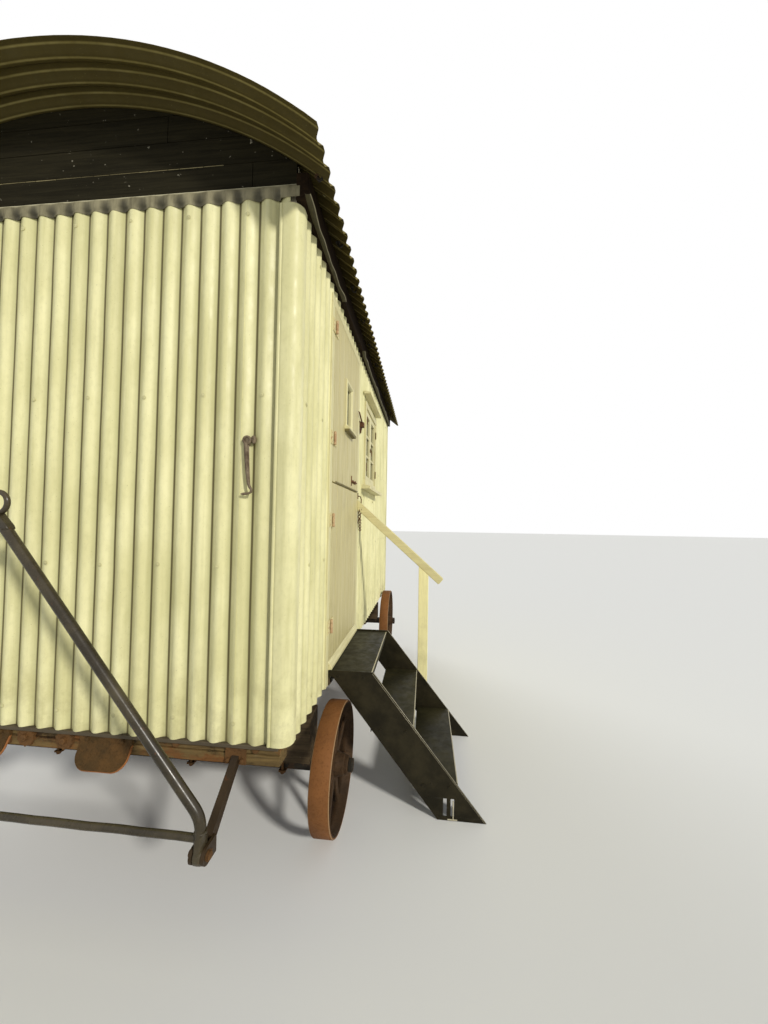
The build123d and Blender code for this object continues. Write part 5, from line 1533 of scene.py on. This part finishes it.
def stringers():
    """Steel stringer plates with slots at the foot, and pale strips along their upper edges as a painted
    highlight.
    """
    slope = STEP_TOP / (STRINGER_REACH - STRINGER_TOP)
    tail = STEP_TOP - 0.030
    low, high = 0.018, 0.098

    def right_at(z):
        return STRINGER_REACH - z / slope, z

    def left_at(z):
        return FOOT_BACK - z / slope, z

    def place(a, b, c):
        return STEP_X + a, c, b

    # The foot is in strips round the slots, and the rest is one plate above them.
    near_0, far_0, near_1, far_1 = (slot + s * SLOT_HALF for slot in SLOTS for s in (-1, 1))
    plates = [
        [
            (0.0, STEP_TOP), (STRINGER_TOP, STEP_TOP), right_at(high), left_at(high), left_at(tail),
            (0.0, tail),
        ],
        [left_at(high), (near_0, high), (near_0, low), left_at(low)],
        [(far_0, high), (near_1, high), (near_1, low), (far_0, low)],
        [(far_1, high), right_at(high), right_at(low), (far_1, low)],
        [left_at(low), right_at(low), (STRINGER_REACH, 0.0), (FOOT_BACK, 0.0)],
    ]
    inwards = Vector((-STEP_TOP, 0, STRINGER_TOP - STRINGER_REACH)).normalized()
    upper = Vector((STEP_X + STRINGER_TOP, 0, STEP_TOP))
    lower = Vector((STEP_X + STRINGER_REACH - 0.001, 0, 0.0005))
    build = Build()
    edges = Build()
    for y, inward in ((STEP_Y0, 1), (STEP_Y1, -1)):
        for plate in plates:
            build.prism(plate, y, y + inward * STRINGER_THICK, place)
        # Two thin pale strips along each stringer's upper edge, as a painted highlight.
        for near, far, start, wide in ((0.0, 0.0016, -0.0004, 0.0062), (0.0075, 0.0086, -0.0006, 0.003)):
            a, b = inwards * near, inwards * far
            ring = [upper + a, lower + a, lower + b, upper + b]
            points = [(v.x, y + inward * reach, max(v.z, 0.0)) for reach in (start, wide) for v in ring]
            edges.add(points, [
                (0, 1, 2, 3), (7, 6, 5, 4), (0, 4, 5, 1), (1, 5, 6, 2), (2, 6, 7, 3), (3, 7, 4, 0)])
    fine = {"smooth": 30, "segments": 1, "outward": True}
    plate = "black_steel_plate"
    build.make("step_stringer_plates", plate, plate, "step_stringers", bevel=0.0008, **fine)
    edges.make("step_edge_highlights", "edge_steel", plate, bevel=0.0006, **fine)


def steps():
    """Three folded treads with pale noses, partly wear and partly a painted highlight, their bolts, the bars
    in the slots and the hangers.
    """
    plate = "black_steel_plate"
    treads = Build()
    lips = Build()
    y0 = STEP_Y0 + STRINGER_THICK
    y1 = STEP_Y1 - STRINGER_THICK
    lip, thick = 0.032, 0.004
    for n in range(3):
        z = STEP_TOP - 0.010 - n * TREAD_FALL
        x0 = STEP_X + n * TREAD_DEPTH
        x1 = x0 + TREAD_DEPTH
        profile = [
            (x0, z - lip), (x0, z - 0.0025), (x0 + 0.0025, z), (x1 - 0.004, z), (x1 - 0.0012, z - 0.0012),
            (x1, z - 0.004), (x1, z - lip), (x1 - thick, z - lip), (x1 - thick, z - thick),
            (x0 + thick, z - thick), (x0 + thick, z - lip),
        ]
        treads.tone = random.random()
        treads.prism(profile, y0, y1)
        lips.box(x1 - 0.0045, x1 + 0.0004, y0 + 0.002, y1 - 0.002, z - 0.0042, z + 0.0004)
    treads.make("step_tread_plates", "tread_steel", plate, "step_treads", smooth=25, outward=True)
    lips.make("step_tread_noses", "edge_steel", plate, bevel=0.0006, smooth=30, segments=1)
    bolts = Build()
    for y, out in ((STEP_Y0, -1), (STEP_Y1, 1)):
        for n in range(3):
            z = STEP_TOP - 0.010 - n * TREAD_FALL - 0.017
            for dx in (0.045, 0.165):
                bolts.bolt((STEP_X + n * TREAD_DEPTH + dx, y, z), (0, out, 0), 0.0058, 0.004)
        for dx, z in ((0.4925, 0.159), (0.5745, 0.170)):
            bolts.dome((STEP_X + dx, y, z), (0, out, 0), 0.0048, 0.0026, 12)
    bolts.make("step_bolts", plate, plate, bevel=0.0006, segments=1, outward=True)
    bars = Build()
    x = STEP_X + SLOTS[1]
    for y in (STEP_Y0 - 0.0035, STEP_Y1 + 0.0035):
        bars.tube([(x + 0.003, y, 0.092), (x + 0.003, y, 0.006)], 0.0030, 10)
        bars.tube([(x - 0.022, y, 0.008), (x + 0.022, y, 0.008)], 0.0030, 10)
    bars.make("step_slot_bars", "edge_steel", plate, smooth=40)
    brackets = Build()
    for y in (STEP_Y0 + 0.03, STEP_Y1 - 0.08):
        brackets.box(STEP_X - 0.0005, STEP_X + 0.006, y, y + 0.05, 0.582, 0.640)
        brackets.bolt((STEP_X + 0.006, y + 0.025, 0.600), (1, 0, 0), 0.007, 0.006)
    brackets.make("step_hangers", plate, plate, bevel=0.001, outward=True)


def handrail():
    """A planed rail with rounded edges, a round nose and its post with two coach bolts."""
    y0 = STEP_Y1
    y1 = y0 + 0.044
    x0 = STEP_X + 0.412
    x1 = x0 + 0.064
    start = Vector((STEP_X - 0.006, 0, 1.515))
    end = Vector((STEP_X + 0.575, 0, 1.000))
    slope = (end.z - start.z) / (end.x - start.x)
    depth = 0.050 / math.cos(math.atan(slope))
    along = Vector((1, 0, slope)).normalized()
    below = Vector((along.z, 0, -along.x))
    foot = end + below * 0.050
    rail = Build()
    rail.tone = 0.3
    nose = [end - along * 0.005, end + below * 0.005, foot - below * 0.005, foot - along * 0.005]
    rail.prism([(start.x, start.z), *((v.x, v.z) for v in nose), (start.x, start.z - depth)], y0, y1)
    rail.make(
        "handrail_planed", "cream_rail", "cream_timber", "handrail", bevel=0.005, segments=3, outward=True)
    post = Build()
    under = [(x, start.z - depth + slope * (x - start.x) - 0.0005) for x in (x1, x0)]
    post.prism([(x0, 0.130), (x1, 0.130), *under], y0, y1)
    # The post takes the paler cream, painted light.
    post.make(
        "handrail_post_planed", "cream_post", "cream_timber", "handrail_post", bevel=0.003, outward=True)
    bolts = Build()
    coach = (0.010, 0.004, 14)
    for z, head in ((0.190, coach), (0.330, coach), (1.055, (0.006, 0.003, 12))):
        bolts.dome((x0 + 0.032, y1, z), (0, 1, 0), *head)
    bolts.make("handrail_bolts", "rusty_iron", "rusty_iron", smooth=40)


stringers()
steps()
handrail()


# ---------------------------------------------------------------- stage, light and camera
def stage():
    """A pale floor, a white background and soft light from the front right."""
    mesh = bpy.data.meshes.new("ground")
    corners = [(60 * a, 60 * b, -0.0008) for a, b in ((-1, -1), (1, -1), (1, 1), (-1, 1))]
    mesh.from_pydata(corners, [], [(0, 1, 2, 3)])
    floor = bpy.data.objects.new("ground", mesh)
    bpy.context.scene.collection.objects.link(floor)
    Look("pale_floor", 0.1, Roughness=0.9, **{"Base Color": (0.86, 0.86, 0.84, 1)})
    mesh.materials.append(MATERIALS["pale_floor"])

    world = bpy.data.worlds.new("studio")
    bpy.context.scene.world = world
    world.use_nodes = True
    tree = world.node_tree
    link = tree.links.new
    background = tree.nodes["Background"]
    white = tree.nodes.new("ShaderNodeBackground")
    for node, colour, strength in ((background, (0.94, 0.97, 1.0, 1), 0.36), (white, (1, 1, 1, 1), 1.0)):
        node.inputs["Color"].default_value = colour
        node.inputs["Strength"].default_value = strength
    # The camera, reflections and glass see plain white; all else is lit by the softer background.
    rays = tree.nodes.new("ShaderNodeLightPath")
    seen = rays.outputs["Is Camera Ray"]
    for kind in ("Is Glossy Ray", "Is Transmission Ray"):
        either = tree.nodes.new("ShaderNodeMath")
        either.operation = "ADD"
        either.use_clamp = True
        link(seen, either.inputs[0])
        link(rays.outputs[kind], either.inputs[1])
        seen = either.outputs["Value"]
    mixer = tree.nodes.new("ShaderNodeMixShader")
    link(seen, mixer.inputs["Fac"])
    link(background.outputs["Background"], mixer.inputs[1])
    link(white.outputs["Background"], mixer.inputs[2])
    link(mixer.outputs["Shader"], tree.nodes["World Output"].inputs["Surface"])

    for name, direction, strength, angle, tint in (
        ("key", (0.66, -0.60, 0.45), 2.5, 6, (1.0, 0.97, 0.90)),
        ("fill", (-0.55, 0.70, 0.45), 1.1, 30, (0.96, 0.98, 1.0)),
    ):
        lamp = bpy.data.lights.new(name, "SUN")
        lamp.energy = strength
        lamp.angle = math.radians(angle)
        lamp.color = tint
        obj = bpy.data.objects.new(name, lamp)
        obj.rotation_mode = "QUATERNION"
        obj.rotation_quaternion = Vector(direction).to_track_quat("Z", "Y")
        obj.location = Vector(direction) * 8
        bpy.context.scene.collection.objects.link(obj)


def camera():
    """The photograph's place and angle, from a solve on the sheets' lines."""
    yaw, pitch, roll = (math.radians(angle) for angle in (6.074, 1.568, 0.9425))
    forward = Vector((-math.sin(yaw) * math.cos(pitch), math.cos(yaw) * math.cos(pitch), math.sin(pitch)))
    right = Vector((math.cos(yaw), math.sin(yaw), 0))
    up = right.cross(forward)
    right_rolled = right * math.cos(roll) + up * math.sin(roll)
    up_rolled = up * math.cos(roll) - right * math.sin(roll)
    data = bpy.data.cameras.new("camera")
    data.sensor_width = 36
    data.lens = 13.54
    data.clip_start = 0.05
    data.clip_end = 200
    obj = bpy.data.objects.new("camera", data)
    basis = Matrix((right_rolled, up_rolled, -forward)).transposed().to_4x4()
    obj.matrix_world = Matrix.Translation((HUT_X + 1.4061, HUT_Y - 2.9495, 1.3645)) @ basis
    bpy.context.scene.collection.objects.link(obj)
    bpy.context.scene.camera = obj
    bpy.context.scene.view_settings.view_transform = "Standard"


stage()
camera()
